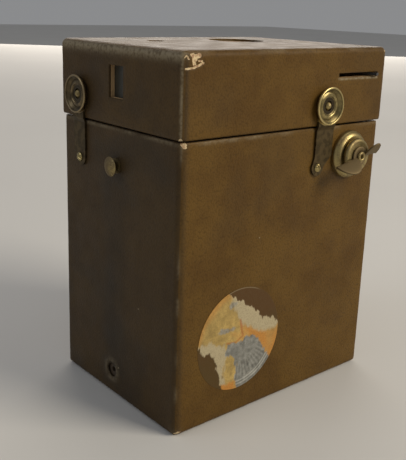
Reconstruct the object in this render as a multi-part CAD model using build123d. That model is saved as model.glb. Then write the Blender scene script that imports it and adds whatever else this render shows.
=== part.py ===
from build123d import *
import os
from math import asin, atan2, cos, degrees, hypot, radians, sin, tan

# A small leather-covered wooden roll-film box camera, standing on its back.
# +Z is the lens axis, -Y the wide side with the winding key, -X the narrow side with the finder.
# The origin is the middle of the back face. All sizes are in millimetres.

# ---- outer sizes ----
case_width = 76.2
case_depth = 55.6
overall_height = 101.6
seam_height = 79.7
seam_gap = 0.6
front_overhang = 0.5
corner_radius = 1.8
back_edge_radius = 1.4
front_end_radius = 2.4
front_side_radius = 1.2

# ---- walls ----
leather = 0.6
wood = 2.6
inner_corner = 0.8
glue_gap = 0.1

# ---- openings in the front section ----
lens_x = 11.5
lens_y = 8.5
lens_opening_radius = 8.5
finder_x = -19.0
finder_y = 9.0
finder_hole_radius = 2.5
window_y = -0.5
window_drop = 9.9
window_width = 6.6
window_height = 8.6
slit_end_inset = 3.6
slit_length = 17.2
slit_height = 1.3

# ---- spring clasps: sheet brass, one on the wide side and one on the narrow side ----
clasp_sheet = 0.6
clasp_lift = 0.1
clasp_disc_radius = 5.35
clasp_disc_height = 1.75
clasp_bead = 0.35
clasp_cup_radius = 2.3
clasp_ring_radius = 2.9
clasp_ring_height = 1.05
clasp_dish_radius = 3.9
clasp_dish_height = 0.75
clasp_hole_radius = 1.45
clasp_flex_drop = 5.2
clasp_foot_top = 3.0
clasp_joggle = 1.2
side_clasp_offset = 11.2
side_clasp_rise = 6.1
side_clasp_width = 7.0
side_ear_offset = 2.1
side_ear_drop = 11.3
end_clasp_inset = 10.0
end_clasp_rise = 7.1
end_clasp_width = 5.7
end_ear_offset = 0.4
end_ear_drop = 10.9
ear_radius = 2.35
stud_radius = 1.15
stud_height = 1.35
stud_dome = 0.9
screw_head_radius = 1.3
screw_head_height = 0.7
screw_shank_radius = 0.8
screw_length = 2.4

# ---- carrying-strap fittings on the narrow side ----
strap_stud_y = 0.0
strap_stud_drop = 10.4
strap_head_radius = 2.7
strap_head_height = 1.1
strap_post_radius = 1.3
strap_neck_radius = 1.04
strap_base_radius = 2.1
strap_base_height = 0.9
strap_stand_off = 2.9
strap_hole_y = 2.0
strap_hole_z = 7.8
strap_hole_radius = 2.1
strap_lip_crest = 2.5
strap_lip_radius = 3.9
strap_lip_height = 0.35

# ---- round side label ----
label_inset = 22.3
label_z = 23.0
label_radius = 15.0
label_thickness = 0.15

# ---- winding key ----
key_drop = 8.7
key_shaft_radius = 1.6
key_bush_radius = 2.8
key_flange_radius = 7.0
key_flange_height = 2.4
key_flange_rim = 0.5
key_flange_shoulder = 5.9
key_collar_radius = 5.1
key_collar_height = 1.8
key_sheet = 0.65
key_hub_radius = 2.9
key_wing_length = 10.2
key_wing_height = 4.9
key_wing_lean = 26.0
key_turned = 13.5
key_rivet_radius = 1.35
key_rivet_height = 0.8
key_rivet_eye = 0.6
key_rivet_neck = 1.2
key_tongue_width = 2.8
key_tongue_thickness = 1.0
key_tongue_length = 3.4
key_tongue_gap = 0.2
running_gap = 0.05
part_gap = 0.1

# ---- film carrier inside the case ----
mouth_sheet = 1.2
mouth_depth = 12.0
mouth_rise = 4.5
board_thickness = 2.4
board_side_gap = 0.2
board_foot = 0.3
board_top_gap = 1.2
spool_cone_gap = 0.2
spool_core_radius = 3.6
spool_flange_radius = 6.5
spool_flange_sheet = 0.5
spool_flange_inset = 1.0
spool_end_gap = 0.3
spool_pin_radius = 1.4
spool_pin_reach = 3.0
film_slot_width = 1.0
film_slot_depth = 2.5
film_back_gap = 2.2
roller_radius = 2.0
roller_pin_radius = 0.9
roller_pin_seat = 1.7
roller_inset = 5.9
gate_width = 48.0
gate_margin = 1.8
gate_sheet = 1.2
gate_film_gap = 0.4
cone_card = 0.9
cone_lens_gap = 0.7
cone_neck = 7.2
tie_size = 3.0
brake_sheet = 0.3
brake_width = 4.3
brake_below = 16.0
brake_above = 3.0

# ---- red window in the back ----
red_x = -15.0
red_radius = 4.0
red_glass_radius = 5.4
red_glass_thickness = 0.8
red_rim = 0.6

# ---- lens and shutter ----
lens_board_setback = 9.2
lens_board_thickness = 2.4
cell_radius = 7.0
cell_wall = 1.2
cell_length = 8.2
cell_flange_radius = 9.5
cell_flange_sheet = 1.0
cell_step = 1.1
stop_radius = 2.6
stop_sheet = 0.5
stop_inset = 0.4
glass_thickness = 2.0
glass_front_curve = 17.0
glass_back_curve = 30.0
ring_height = 1.0
ring_width = 1.0
blade_sheet = 0.8
blade_stand_off = 1.5
blade_pivot_inset = 20.3
blade_pivot_radius = 1.2
blade_hub_radius = 3.2
blade_window_radius = 3.25
blade_cover = 13.0
blade_margin = 6.0
lever_width = 1.8
lever_reach = 1.0
lever_end_gap = 0.71
stop_pin_radius = 0.8
stop_pin_gap = 0.2
stop_pin_distance = 14.0
stop_pin_rise = 0.6
spring_wire = 0.3
spring_coil_radius = 2.0
spring_right = 6.0
spring_up = 9.0
spring_long_leg = 6.5
spring_short_leg = 3.0

# ---- finder ----
finder_glass_radius = 3.4
finder_glass_thickness = 1.3
finder_screen_depth = 1.8
finder_screen_thickness = 1.0
finder_sheet = 0.6
finder_box_depth = 12.3
finder_box_margin = 2.5
finder_box_window_margin = 1.5
finder_mirror_length = 11.0
finder_mirror_width = 8.0
finder_mirror_sheet = 0.9

# ---- worked out from the sizes above ----
wall = leather + wood
half_width = case_width / 2
half_depth = case_depth / 2
front_half_width = half_width + front_overhang
front_half_depth = half_depth + front_overhang
front_base = seam_height + seam_gap
inner_half_width = half_width - wall
inner_half_depth = half_depth - wall
front_inner_half_width = front_half_width - wall
front_inner_half_depth = front_half_depth - wall
panel_inner_z = overall_height - wall
through = 4 * wall

# heights, from the seam and from the front panel
key_z = seam_height - key_drop
clasp_flex_z = seam_height - clasp_flex_drop
side_clasp_z = seam_height + side_clasp_rise
side_ear_z = seam_height - side_ear_drop
end_clasp_z = seam_height + end_clasp_rise
end_ear_z = seam_height - end_ear_drop
strap_stud_z = seam_height - strap_stud_drop
window_z = overall_height - window_drop
board_front_z = overall_height - lens_board_setback
slit_z = board_front_z + blade_stand_off

# the film's path: the gate lies across the two end boards, and the cone stands on the gate
board_outer_y = inner_half_depth - mouth_sheet - board_side_gap
board_inner_y = board_outer_y - board_thickness
board_half_width = inner_half_width - mouth_sheet - board_side_gap
spool_half_length = board_inner_y - spool_end_gap
roller_x = board_half_width - roller_inset
roller_z = wall + film_back_gap + roller_radius
film_plane = roller_z - roller_radius
gate_depth = 2 * (board_inner_y - gate_margin)
gate_low_z = film_plane + gate_film_gap
cone_foot_z = gate_low_z + gate_sheet
cone_top_z = board_front_z - cell_length - cone_lens_gap

# the spools lie just clear of the cone's steeper side, and the key drives the right-hand one
cone_narrowing = gate_width / 2 - lens_x - cone_neck / 2
cone_slant = atan2(cone_narrowing, cone_top_z - cone_foot_z)
cone_side_x = gate_width / 2 + cone_card - (key_z - cone_foot_z) * tan(cone_slant)
key_x = cone_side_x + (spool_flange_radius + spool_cone_gap) / cos(cone_slant)
takeup_x = key_x
supply_x = -key_x

# places across the faces
side_clasp_x = key_x - side_clasp_offset
side_ear_x = side_clasp_x - side_ear_offset
end_clasp_y = half_depth - end_clasp_inset
end_ear_y = end_clasp_y - end_ear_offset
label_x = label_inset - half_width
slit_x = half_width - slit_end_inset - slit_length / 2

# the shutter's lever swings from one end of the slit to the other
blade_pivot_y = blade_pivot_inset - front_half_depth
lever_travel = slit_length / 2 - lever_width / 2 - lever_end_gap
blade_swing = 2 * degrees(atan2(lever_travel, blade_pivot_inset))


def block(x0, x1, y0, y1, z0, z1):
    """A plain block between two corners."""
    return Pos((x0 + x1) / 2, (y0 + y1) / 2, (z0 + z1) / 2) * Box(x1 - x0, y1 - y0, z1 - z0)


def upright(width, depth, z0, z1, radius):
    """A block with rounded upright edges."""
    return Pos(0, 0, z0) * extrude(RectangleRounded(width, depth, radius), z1 - z0)


def rod(start, direction, radius, length):
    """A round rod from a point, along a direction."""
    return Plane(origin=start, z_dir=direction) * extrude(Circle(radius), length)


def tube(start, direction, outer, inner, length):
    """A round tube from a point, along a direction."""
    return Plane(origin=start, z_dir=direction) * extrude(Circle(outer) - Circle(inner), length)


def outline(*steps):
    """A closed outline. A step is a point at the end of a straight run, or an arc as (through, end)."""
    here = steps[0]
    edges = []
    for step in (*steps[1:], steps[0]):
        if isinstance(step[0], tuple):
            edges.append(ThreePointArc(here, *step))
            here = step[1]
        else:
            edges.append(Line(here, step))
            here = step
    return make_face(Wire(edges))


def cap(radius, low, height):
    """The arc of a low dome, from its edge at (radius, low) to its top on the axis."""
    ball = (radius**2 + height**2) / (2 * height)
    half_angle = atan2(radius, ball - height) / 2
    through = (ball * sin(half_angle), low + height - ball + ball * cos(half_angle))
    return through, (0, low + height)


def turned(start, direction, *steps):
    """A turned piece: an outline of (radius, height) steps, swung about its axis."""
    return Plane(origin=start, z_dir=direction) * revolve(Plane.XZ * outline(*steps), Axis.Z)


def case_form(inset, top):
    """The outside of the rear case, with its edges rounded, taken in by an inset."""
    width = case_width - 2 * inset
    depth = case_depth - 2 * inset
    form = upright(width, depth, inset, top, corner_radius - inset)
    back_edges = form.faces().sort_by(Axis.Z)[0].edges()
    return fillet(back_edges, back_edge_radius - inset)


def front_form(inset, base):
    """The outside of the front section: its short top edges are rounded more than its long ones."""
    width = 2 * (front_half_width - inset)
    depth = 2 * (front_half_depth - inset)
    top = overall_height - inset
    plan = upright(width, depth, base, top, corner_radius - inset)
    along = block(-width / 2, width / 2, -depth, depth, base, top)
    along = fillet(along.edges().filter_by(Axis.Y).group_by(Axis.Z)[-1], front_end_radius - inset)
    across = block(-width, width, -depth / 2, depth / 2, base, top)
    across = fillet(across.edges().filter_by(Axis.X).group_by(Axis.Z)[-1], front_side_radius - inset)
    return plan & along & across


# ---- rear case ----
key_point = (key_x, -half_depth, key_z)
side_out = (0, -1, 0)
side_in = (0, 1, 0)
end_out = (-1, 0, 0)
end_in = (1, 0, 0)


def rear_case():
    """The wooden box, with the holes for the key, the fittings and the red window."""
    box = case_form(leather, seam_height)
    inner = upright(2 * inner_half_width, 2 * inner_half_depth, wall, seam_height + 1, inner_corner)
    box -= inner
    box -= rod(key_point, side_in, key_bush_radius, through)
    box -= rod((red_x, 0, 0), (0, 0, 1), red_radius, through)
    seat_depth = red_glass_thickness + glue_gap
    box -= rod((red_x, 0, wall - seat_depth), (0, 0, 1), red_glass_radius + glue_gap, through)
    for point, direction, radius, length in case_fixings():
        box -= rod(point, direction, radius, length)
    box -= rod((-half_width, strap_hole_y, strap_hole_z), end_in, screw_shank_radius, wall)
    return box


def case_fixings():
    """Where the clasp screws and the strap stud enter the case: point, direction, radius, depth."""
    return [
        ((side_ear_x, -half_depth, side_ear_z), side_in, screw_shank_radius, screw_length),
        ((-half_width, end_ear_y, end_ear_z), end_in, screw_shank_radius, screw_length),
        ((-half_width, strap_stud_y, strap_stud_z), end_in, strap_post_radius, screw_length),
    ]


def case_covering():
    """The leather round the sides and the leather on the back, as two pieces."""
    skin = case_form(0, seam_height) - case_form(leather, seam_height + 1)
    skin -= rod(key_point, side_in, key_bush_radius, through)
    skin -= rod((red_x, 0, 0), (0, 0, 1), red_radius, through)
    for point, direction, radius, length in case_fixings():
        skin -= rod(point, direction, radius, length)
    lip_start = (-half_width - strap_lip_height, strap_hole_y, strap_hole_z)
    lip_depth = strap_lip_height + leather
    skin += turned(
        lip_start,
        end_in,
        (0, 0),
        (strap_lip_crest, 0),
        (strap_lip_radius, strap_lip_height),
        (strap_lip_radius, lip_depth),
        (0, lip_depth),
    )
    skin -= rod(lip_start, end_in, strap_hole_radius, lip_depth)
    reach = 2 * case_width
    lower = block(-reach, reach, -reach, reach, -reach, leather)
    return skin - lower, skin & lower


def red_window():
    """A disc of red glass let into the back from inside, and the eyelet round its hole."""
    seat = wall - red_glass_thickness
    glass = rod((red_x, 0, seat), (0, 0, 1), red_glass_radius, red_glass_thickness)
    eyelet = tube((red_x, 0, leather / 4), (0, 0, 1), red_radius, red_radius - red_rim, seat - leather / 2)
    return glass, eyelet


def mouth_frame():
    """The thin wooden frame inside the mouth of the case that the front section slips over."""
    low_z = seam_height - mouth_depth
    high_z = seam_height + mouth_rise
    outer = upright(2 * inner_half_width, 2 * inner_half_depth, low_z, high_z, inner_corner)
    inner = block(
        mouth_sheet - inner_half_width,
        inner_half_width - mouth_sheet,
        mouth_sheet - inner_half_depth,
        inner_half_depth - mouth_sheet,
        0,
        overall_height,
    )
    return outer - inner - rod(key_point, side_in, key_bush_radius, half_depth)


def side_label():
    """The round paper and foil label on the wide side."""
    return rod((label_x, -half_depth, label_z), side_out, label_radius, label_thickness)


# ---- spring clasps ----
def clasp_dish(base):
    """The dished disc: a beaded rim, a hollow, a raised ring and a cup with the stud's hole."""
    top = base + clasp_disc_height
    sheet = clasp_sheet
    rim = clasp_disc_radius
    bead = clasp_bead
    hollow = base + clasp_dish_height
    crest = base + clasp_ring_height
    ring = clasp_ring_radius
    dish = clasp_dish_radius
    return revolve(
        Plane.XZ
        * outline(
            (clasp_hole_radius, base),
            (dish, base),
            (((dish + rim) / 2 + bead, base + 0.4 * (top - base)), (rim, top - bead)),
            ((rim - bead * (1 - cos(radians(45))), top - bead * (1 - sin(radians(45)))), (rim - bead, top)),
            ((rim - 1.7 * bead, top - 0.3 * bead), (rim - 2 * bead, top - bead)),
            (((dish + rim) / 2 - bead, hollow + 0.35 * (top - hollow)), (dish, hollow)),
            (((dish + ring) / 2, (hollow + crest) / 2 + bead / 4), (ring, crest)),
            ((ring - bead / 2, crest - bead / 4), (ring - bead, crest - bead)),
            (clasp_cup_radius, base + sheet),
            (clasp_hole_radius, base + sheet),
        ),
        Axis.Z,
    )


def clasp(across, place, z, width, ear, ear_z):
    """One clasp, as a foot and a spring.

    It is drawn with x along the face, z up and y outwards, and then moved to its face.
    The foot lies flat under its screw. The spring steps out over the front section, where
    its dished disc drops over a stud.
    """
    sheet = clasp_sheet
    near = clasp_lift
    far = front_overhang + clasp_lift
    low = clasp_flex_z + running_gap
    step_end = front_base - part_gap
    step_start = step_end - clasp_joggle
    side_line = outline(
        (near, low),
        (near, step_start),
        (far, step_end),
        (far, z),
        (far + sheet, z),
        (far + sheet, step_end),
        (near + sheet, step_start),
        (near + sheet, low),
    )
    strip = extrude(Plane.YZ * side_line, width / 2, both=True)
    # round pieces are drawn about an axis that points out of the face
    outward = Plane(origin=(0, 0, z), x_dir=(1, 0, 0), z_dir=(0, 1, 0))
    dish = outward * clasp_dish(far)
    hole = outward * Cylinder(clasp_hole_radius, through)
    within_dish = outward * extrude(Circle(clasp_dish_radius), through)
    below_dish = block(-width, width, -through, through, 0, z)
    under_dish = strip & below_dish - within_dish
    spring = under_dish + dish - hole

    foot_low_z = clasp_flex_z - clasp_foot_top
    foot = block(-width / 2, width / 2, 0, sheet, foot_low_z, clasp_flex_z)
    round_ear = Plane(origin=(ear, 0, ear_z), x_dir=(1, 0, 0), z_dir=(0, 1, 0))
    foot += round_ear * extrude(Circle(ear_radius), sheet)
    web = outline(
        (ear - ear_radius, ear_z),
        (min(ear - ear_radius, -width / 2), foot_low_z),
        (width / 2, foot_low_z),
        (ear + ear_radius, ear_z),
    )
    foot += extrude(Plane.XZ * web, -sheet)
    foot -= round_ear * Cylinder(screw_shank_radius, through)
    home = Plane(origin=place, x_dir=across, z_dir=(0, 0, 1))
    return home * foot, home * spring


def clasps():
    """The clasp on the wide side and the clasp on the narrow side."""
    side = clasp(
        (-1, 0, 0),
        (side_clasp_x, -half_depth, 0),
        side_clasp_z,
        side_clasp_width,
        side_ear_offset,
        side_ear_z,
    )
    end = clasp(
        (0, 1, 0),
        (-half_width, end_clasp_y, 0),
        end_clasp_z,
        end_clasp_width,
        -end_ear_offset,
        end_ear_z,
    )
    return side, end


def domed_pin(point, direction, radius, head_radius, stand_off, head_height, depth):
    """A pin with a low domed head that stands off a face, and a shank that enters it."""
    shank = [(0, -depth), (radius, -depth), (radius, stand_off)]
    if head_radius > radius:
        shank.append((head_radius, stand_off))
    return turned(point, direction, *shank, cap(head_radius, stand_off, head_height))


def clasp_screws():
    """The two round-headed screws that hold the feet of the clasps."""
    side = domed_pin(
        (side_ear_x, -half_depth, side_ear_z),
        side_out,
        screw_shank_radius,
        screw_head_radius,
        clasp_sheet,
        screw_head_height,
        screw_length,
    )
    end = domed_pin(
        (-half_width, end_ear_y, end_ear_z),
        end_out,
        screw_shank_radius,
        screw_head_radius,
        clasp_sheet,
        screw_head_height,
        screw_length,
    )
    return Compound([side, end])


def stud_places():
    """Where the clasp studs stand on the front section, and which way they point."""
    return [
        ((side_clasp_x, -front_half_depth, side_clasp_z), side_out),
        ((-front_half_width, end_clasp_y, end_clasp_z), end_out),
    ]


def clasp_studs():
    """The two studs on the front section, each inside the hole of its clasp."""
    neck = stud_height - stud_dome
    pins = [
        domed_pin(point, out, stud_radius, stud_radius, neck, stud_dome, leather + wood / 2)
        for point, out in stud_places()
    ]
    return Compound(pins)


def strap_stud():
    """The stud that holds one end of the carrying strap: a base collar, a post and a broad head."""
    base = strap_base_height
    under = strap_stand_off - strap_head_height
    brim = under + strap_head_height / 4
    dome = strap_stand_off - brim
    return turned(
        (-half_width, strap_stud_y, strap_stud_z),
        end_out,
        (0, -screw_length),
        (strap_post_radius, -screw_length),
        (strap_post_radius, 0),
        (strap_base_radius, 0),
        (strap_base_radius, base * 0.7),
        (strap_neck_radius, base),
        (strap_neck_radius, under),
        (strap_head_radius - part_gap, under),
        (strap_head_radius, brim),
        cap(strap_head_radius, brim, dome),
    )


# ---- winding key ----
def key_flange():
    """The turned bell-shaped collar on the side of the case: a square rim, then a hollow ogee."""
    high = key_flange_height
    rim = key_flange_rim
    outer = key_flange_radius
    shoulder = key_flange_shoulder
    bore = key_shaft_radius + 3 * running_gap
    waist = ((outer + shoulder) / 2, (rim + high) / 2)
    return turned(
        key_point,
        side_out,
        (bore, 0),
        (outer, 0),
        (outer, rim),
        ((outer - 0.05, (rim + waist[1]) / 2), (waist[0] + 0.2, waist[1])),
        ((shoulder + 0.15, high - 0.25), (shoulder - 0.3, high)),
        (bore, high),
    )


def key_bush():
    """The brass tube that lines the key's hole through the wall of the case."""
    return tube(key_point, side_in, key_bush_radius, key_shaft_radius + running_gap, wall)


def key_collar():
    """The smaller collar that turns with the key, just outside the flange, with a rounded rim."""
    low = key_flange_height + part_gap
    high = low + key_collar_height
    round_off = key_collar_height / 2
    face = key_collar_radius - round_off
    bore = key_shaft_radius + running_gap
    return turned(
        key_point,
        side_out,
        (bore, low),
        (face, low),
        ((key_collar_radius, low + round_off), (face, high)),
        (bore, high),
    )


def key_wing():
    """The stamped thumb piece: a hub disc and two round wings, folded up to opposite sides."""
    base = key_flange_height + part_gap + key_collar_height
    hub = Cylinder(key_hub_radius, key_sheet, align=(Align.CENTER, Align.CENTER, Align.MIN))
    start = key_shaft_radius
    middle = (key_wing_length + start) / 2
    lobe = Pos(middle, 0) * Ellipse((key_wing_length - start) / 2, key_wing_height)
    lobe &= Pos(middle, key_wing_height) * Rectangle(2 * key_wing_length, 2 * key_wing_height)
    tie_length = key_hub_radius
    lobe += Pos(start + tie_length / 2, key_sheet / 2) * Rectangle(tie_length, key_sheet)
    # the wing's sketch plane holds the long axis, and leans away from the key's axis
    lean = radians(key_wing_lean)
    wing_plane = Plane(origin=(0, 0, 0), x_dir=(1, 0, 0), z_dir=(0, -cos(lean), sin(lean)))
    wing = wing_plane * extrude(lobe, key_sheet / 2, both=True)
    wing = Pos(0, 0, key_sheet / 2) * wing
    thumb = hub + wing + Rot(0, 0, 180) * wing
    thumb -= Cylinder(key_rivet_neck, 4 * key_sheet)
    seat = Plane(origin=key_point, x_dir=(1, 0, 0), z_dir=side_out)
    return seat * (Pos(0, 0, base) * (Rot(0, 0, -180 - key_turned) * thumb))


def key_shaft():
    """The spindle from the riveted eye of the key to the tongue that drives the take-up spool."""
    base = key_flange_height + part_gap + key_collar_height
    rivet_base = base + key_sheet
    rivet_top = rivet_base + key_rivet_height
    reach = half_depth - board_inner_y
    eye_edge = (key_rivet_radius + key_rivet_eye) / 2
    shaft = turned(
        key_point,
        side_out,
        (0, -reach),
        (key_shaft_radius, -reach),
        (key_shaft_radius, base),
        (key_rivet_neck, base),
        (key_rivet_neck, rivet_base),
        (key_rivet_radius, rivet_base),
        ((eye_edge, rivet_top), (key_rivet_eye, rivet_base + key_rivet_height / 4)),
        (key_rivet_eye, rivet_base),
        (0, rivet_base),
    )
    low_y = -board_inner_y
    tongue = block(
        key_x - key_tongue_thickness / 2,
        key_x + key_tongue_thickness / 2,
        low_y,
        low_y + key_tongue_length,
        key_z - key_tongue_width / 2,
        key_z + key_tongue_width / 2,
    )
    return shaft + tongue


# ---- film carrier ----
def carrier_board(side):
    """One end board of the film carrier, on the side of the key (-1) or the far side (+1)."""
    inner = side * board_inner_y
    outer = side * board_outer_y
    low_z = wall + board_foot
    high_z = seam_height - board_top_gap
    board = block(-board_half_width, board_half_width, min(inner, outer), max(inner, outer), low_z, high_z)
    board = fillet(board.edges().filter_by(Axis.Y), 2 * board_thickness)
    inward = (0, side, 0)
    depth = board_thickness + 2
    for x in (supply_x, takeup_x):
        radius = spool_pin_radius
        if x == takeup_x and side < 0:
            radius = key_shaft_radius + running_gap
        board -= rod((x, inner - side, key_z), inward, radius, depth)
    for x in (-roller_x, roller_x):
        board -= rod((x, inner - side, roller_z), inward, roller_pin_radius + running_gap, depth)
    return board


def cone():
    """The card cone that keeps light from the lens to the film gate, leaning towards the lens."""
    def form(card):
        low = Pos(0, 0, cone_foot_z) * Rectangle(gate_width + 2 * card, gate_depth + 2 * card)
        neck = cone_neck + 2 * card
        high = Pos(lens_x, lens_y, cone_top_z) * Rectangle(neck, neck)
        return loft([low, high], ruled=True)

    return form(cone_card) - form(0)


def film_gate():
    """The plate that frames the picture and guides the film."""
    half_x = roller_x - roller_radius - spool_end_gap
    plate = block(-half_x, half_x, -board_inner_y, board_inner_y, gate_low_z, cone_foot_z)
    return plate - block(-gate_width / 2, gate_width / 2, -gate_depth / 2, gate_depth / 2, 0, overall_height)


def carrier_ties():
    """The two wooden bars that join the end boards, just below the spools."""
    z = key_z - spool_flange_radius - tie_size
    bars = [
        Pos(side * (board_half_width - tie_size), 0, z) * Box(tie_size, 2 * board_inner_y, tie_size)
        for side in (-1, 1)
    ]
    return Compound(bars)


def roller(x):
    """A guide roller at the edge of the gate, with a small pin at each end."""
    half = spool_half_length
    barrel = rod((x, -half, roller_z), side_in, roller_radius, 2 * half)
    reach = board_inner_y + roller_pin_seat
    return barrel + rod((x, -reach, roller_z), side_in, roller_pin_radius, 2 * reach)


def spool(x, driven):
    """A spool as a wooden core and two sheet-metal flanges. A driven core has a slot for the key."""
    half = spool_half_length
    core = rod((x, -half, key_z), side_in, spool_core_radius, 2 * half)
    bore = spool_pin_radius + running_gap
    bore_depth = spool_pin_reach + key_tongue_gap
    core -= rod((x, half - bore_depth, key_z), side_in, bore, 2 * bore_depth)
    if driven:
        slot_x = key_tongue_thickness / 2 + key_tongue_gap
        slot_z = key_tongue_width / 2 + key_tongue_gap
        slot_end = key_tongue_length + key_tongue_gap - half
        core -= block(x - slot_x, x + slot_x, -half - 1, slot_end, key_z - slot_z, key_z + slot_z)
    else:
        core -= rod((x, -half - bore_depth, key_z), side_in, bore, 2 * bore_depth)
    # the slot that the film's end tucks into
    slot_half = film_slot_width / 2
    slot_low_z = key_z + spool_core_radius - film_slot_depth
    reach = 0.8 * half
    core -= block(x - slot_half, x + slot_half, -reach, reach, slot_low_z, key_z + spool_core_radius + 1)
    inset = half - spool_flange_inset
    sheet = spool_flange_sheet
    near = tube((x, -inset, key_z), side_in, spool_flange_radius, spool_core_radius, sheet)
    far = tube((x, inset - sheet, key_z), side_in, spool_flange_radius, spool_core_radius, sheet)
    return core, Compound([near, far])


def spool_pins():
    """The fixed pins in the end boards that the spools turn on."""
    length = board_thickness + spool_end_gap + spool_pin_reach
    pins = [
        rod((takeup_x, board_outer_y, key_z), side_out, spool_pin_radius, length),
        rod((supply_x, board_outer_y, key_z), side_out, spool_pin_radius, length),
        rod((supply_x, -board_outer_y, key_z), side_in, spool_pin_radius, length),
    ]
    return Compound(pins)


def supply_brake():
    """The leaf spring on the far board that bears on the supply spool, so the film stays tight."""
    y = board_inner_y - brake_sheet
    half = brake_width / 2
    leaf = block(supply_x - half, supply_x + half, y, board_inner_y, key_z - brake_below, key_z + brake_above)
    return leaf - rod((supply_x, y - 1, key_z), side_in, spool_pin_radius, 2 + brake_sheet)


# ---- front section ----
def front_openings(extra):
    """What is cut through the front section: the lens and finder holes, the window and the slit."""
    up = (0, 0, 1)
    cuts = rod((lens_x, lens_y, panel_inner_z - 1), up, lens_opening_radius + extra, through)
    cuts += rod((finder_x, finder_y, panel_inner_z - 1), up, finder_hole_radius + extra, through)
    half = window_width / 2 + extra
    rise = window_height / 2 + extra
    cuts += block(
        -front_half_width - 1,
        -front_inner_half_width + 1,
        window_y - half,
        window_y + half,
        window_z - rise,
        window_z + rise,
    )
    slit_plane = Plane(origin=(slit_x, -front_half_depth - 1, slit_z), x_dir=(1, 0, 0), z_dir=side_in)
    slit = SlotOverall(slit_length + 2 * extra, slit_height + 2 * extra)
    cuts += slit_plane * extrude(slit, wall + 2)
    for point, out in stud_places():
        inward = tuple(-value for value in out)
        cuts += rod(point, inward, stud_radius, leather + wood / 2)
    return cuts


def front_case():
    """The wooden shell of the front section, open towards the case."""
    box = front_form(leather, front_base)
    box -= block(
        -front_inner_half_width,
        front_inner_half_width,
        -front_inner_half_depth,
        front_inner_half_depth,
        0,
        panel_inner_z,
    )
    box -= front_openings(0)
    seat = (finder_x, finder_y, panel_inner_z - 1)
    box -= rod(seat, (0, 0, 1), finder_glass_radius + glue_gap, 1 + finder_glass_thickness)
    return box


def front_leather():
    """The leather over the front section."""
    return front_form(0, front_base) - front_form(leather, 0) - front_openings(0)


def finder_box_span():
    """The plan of the finder's tin box: lowest x, highest x, lowest y, highest y."""
    reach = finder_mirror_width / 2 + finder_box_margin
    low_y = min(window_y - window_width / 2, finder_y - reach) - finder_box_window_margin
    return -front_inner_half_width, finder_x + reach, low_y, finder_y + reach


def lens_board():
    """The wooden board across the front section that carries the lens and the shutter."""
    x = front_inner_half_width - glue_gap
    y = front_inner_half_depth - glue_gap
    board = block(-x, x, -y, y, board_front_z - lens_board_thickness, board_front_z)
    low_x, high_x, low_y, high_y = finder_box_span()
    gap = glue_gap
    board -= block(low_x - 1, high_x + gap, low_y - gap, high_y + gap, 0, overall_height)
    board -= rod((lens_x, lens_y, 0), (0, 0, 1), cell_radius, overall_height)
    return board


def lens_cell():
    """The turned brass barrel that holds the lens, flanged behind the board."""
    back = board_front_z - cell_length
    seat = board_front_z - lens_board_thickness
    bore = cell_radius - cell_wall
    return turned(
        (lens_x, lens_y, 0),
        (0, 0, 1),
        (bore - cell_wall / 2, back),
        (cell_radius, back),
        (cell_radius, seat - cell_flange_sheet),
        (cell_flange_radius, seat - cell_flange_sheet),
        (cell_flange_radius, seat),
        (cell_radius, seat),
        (cell_radius, board_front_z),
        (bore, board_front_z),
        (bore, back + cell_step),
        (bore - cell_wall / 2, back + cell_step),
    )


def lens_glass():
    """A meniscus lens, hollow towards the film."""
    radius = cell_radius - cell_wall - running_gap
    middle = board_front_z - cell_length / 2
    edge_top = middle + glass_thickness / 2
    edge_low = middle - glass_thickness / 2

    def rise(curve, at):
        return (curve**2 - at**2) ** 0.5 - (curve**2 - radius**2) ** 0.5

    half = radius / 2
    return turned(
        (lens_x, lens_y, 0),
        (0, 0, 1),
        (0, edge_low + rise(glass_back_curve, 0)),
        ((half, edge_low + rise(glass_back_curve, half)), (radius, edge_low)),
        (radius, edge_top),
        ((half, edge_top + rise(glass_front_curve, half)), (0, edge_top + rise(glass_front_curve, 0))),
    )


def lens_ring():
    """The threaded ring that holds the lens in its cell."""
    bore = cell_radius - cell_wall
    top = board_front_z - cell_length / 2 - glass_thickness / 2
    start = (lens_x, lens_y, top - ring_height)
    return tube(start, (0, 0, 1), bore - running_gap, bore - ring_width, ring_height)


def aperture_stop():
    """The thin blackened washer in front of the lens."""
    bore = cell_radius - cell_wall
    low = board_front_z - stop_sheet - stop_inset
    return tube((lens_x, lens_y, low), (0, 0, 1), bore - running_gap, stop_radius, stop_sheet)


# ---- shutter ----
blade_low = slit_z - blade_sheet / 2
blade_high = slit_z + blade_sheet / 2
lens_reach = hypot(lens_x - slit_x, lens_y - blade_pivot_y)
lens_bearing = degrees(atan2(lens_y - blade_pivot_y, lens_x - slit_x))
blade_tip = lens_reach + blade_margin


def shutter_blade():
    """A sector with a round window, and the lever that reaches through the slit.

    At rest the lever is at the slit's right end and the sector covers the lens. A push to the
    left end carries the window past the lens and covers it again.
    """
    window_bearing = lens_bearing + blade_swing / 2
    low = lens_bearing - blade_cover
    high = window_bearing + blade_swing / 2 + blade_cover
    centre = Pos(slit_x, blade_pivot_y)
    reach = 2 * blade_tip
    far_corner = [(reach * cos(radians(a)), reach * sin(radians(a))) for a in (low, high)]
    pie = Circle(blade_tip) & make_face(Polyline((0, 0), *far_corner, close=True))
    form = pie + Circle(blade_hub_radius)
    window_place = (lens_reach * cos(radians(window_bearing)), lens_reach * sin(radians(window_bearing)))
    form -= Pos(*window_place) * Circle(blade_window_radius)
    lever_angle = blade_swing / 2 - 90
    tip_y = front_half_depth + lever_reach + blade_pivot_y
    lever_length = tip_y / cos(radians(blade_swing / 2))
    lever = Rot(0, 0, lever_angle) * (Pos(lever_length / 2, 0) * Rectangle(lever_length, lever_width))
    form += lever
    form -= Circle(blade_pivot_radius + running_gap)
    return Pos(0, 0, blade_low) * extrude(centre * form, blade_sheet)


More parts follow.
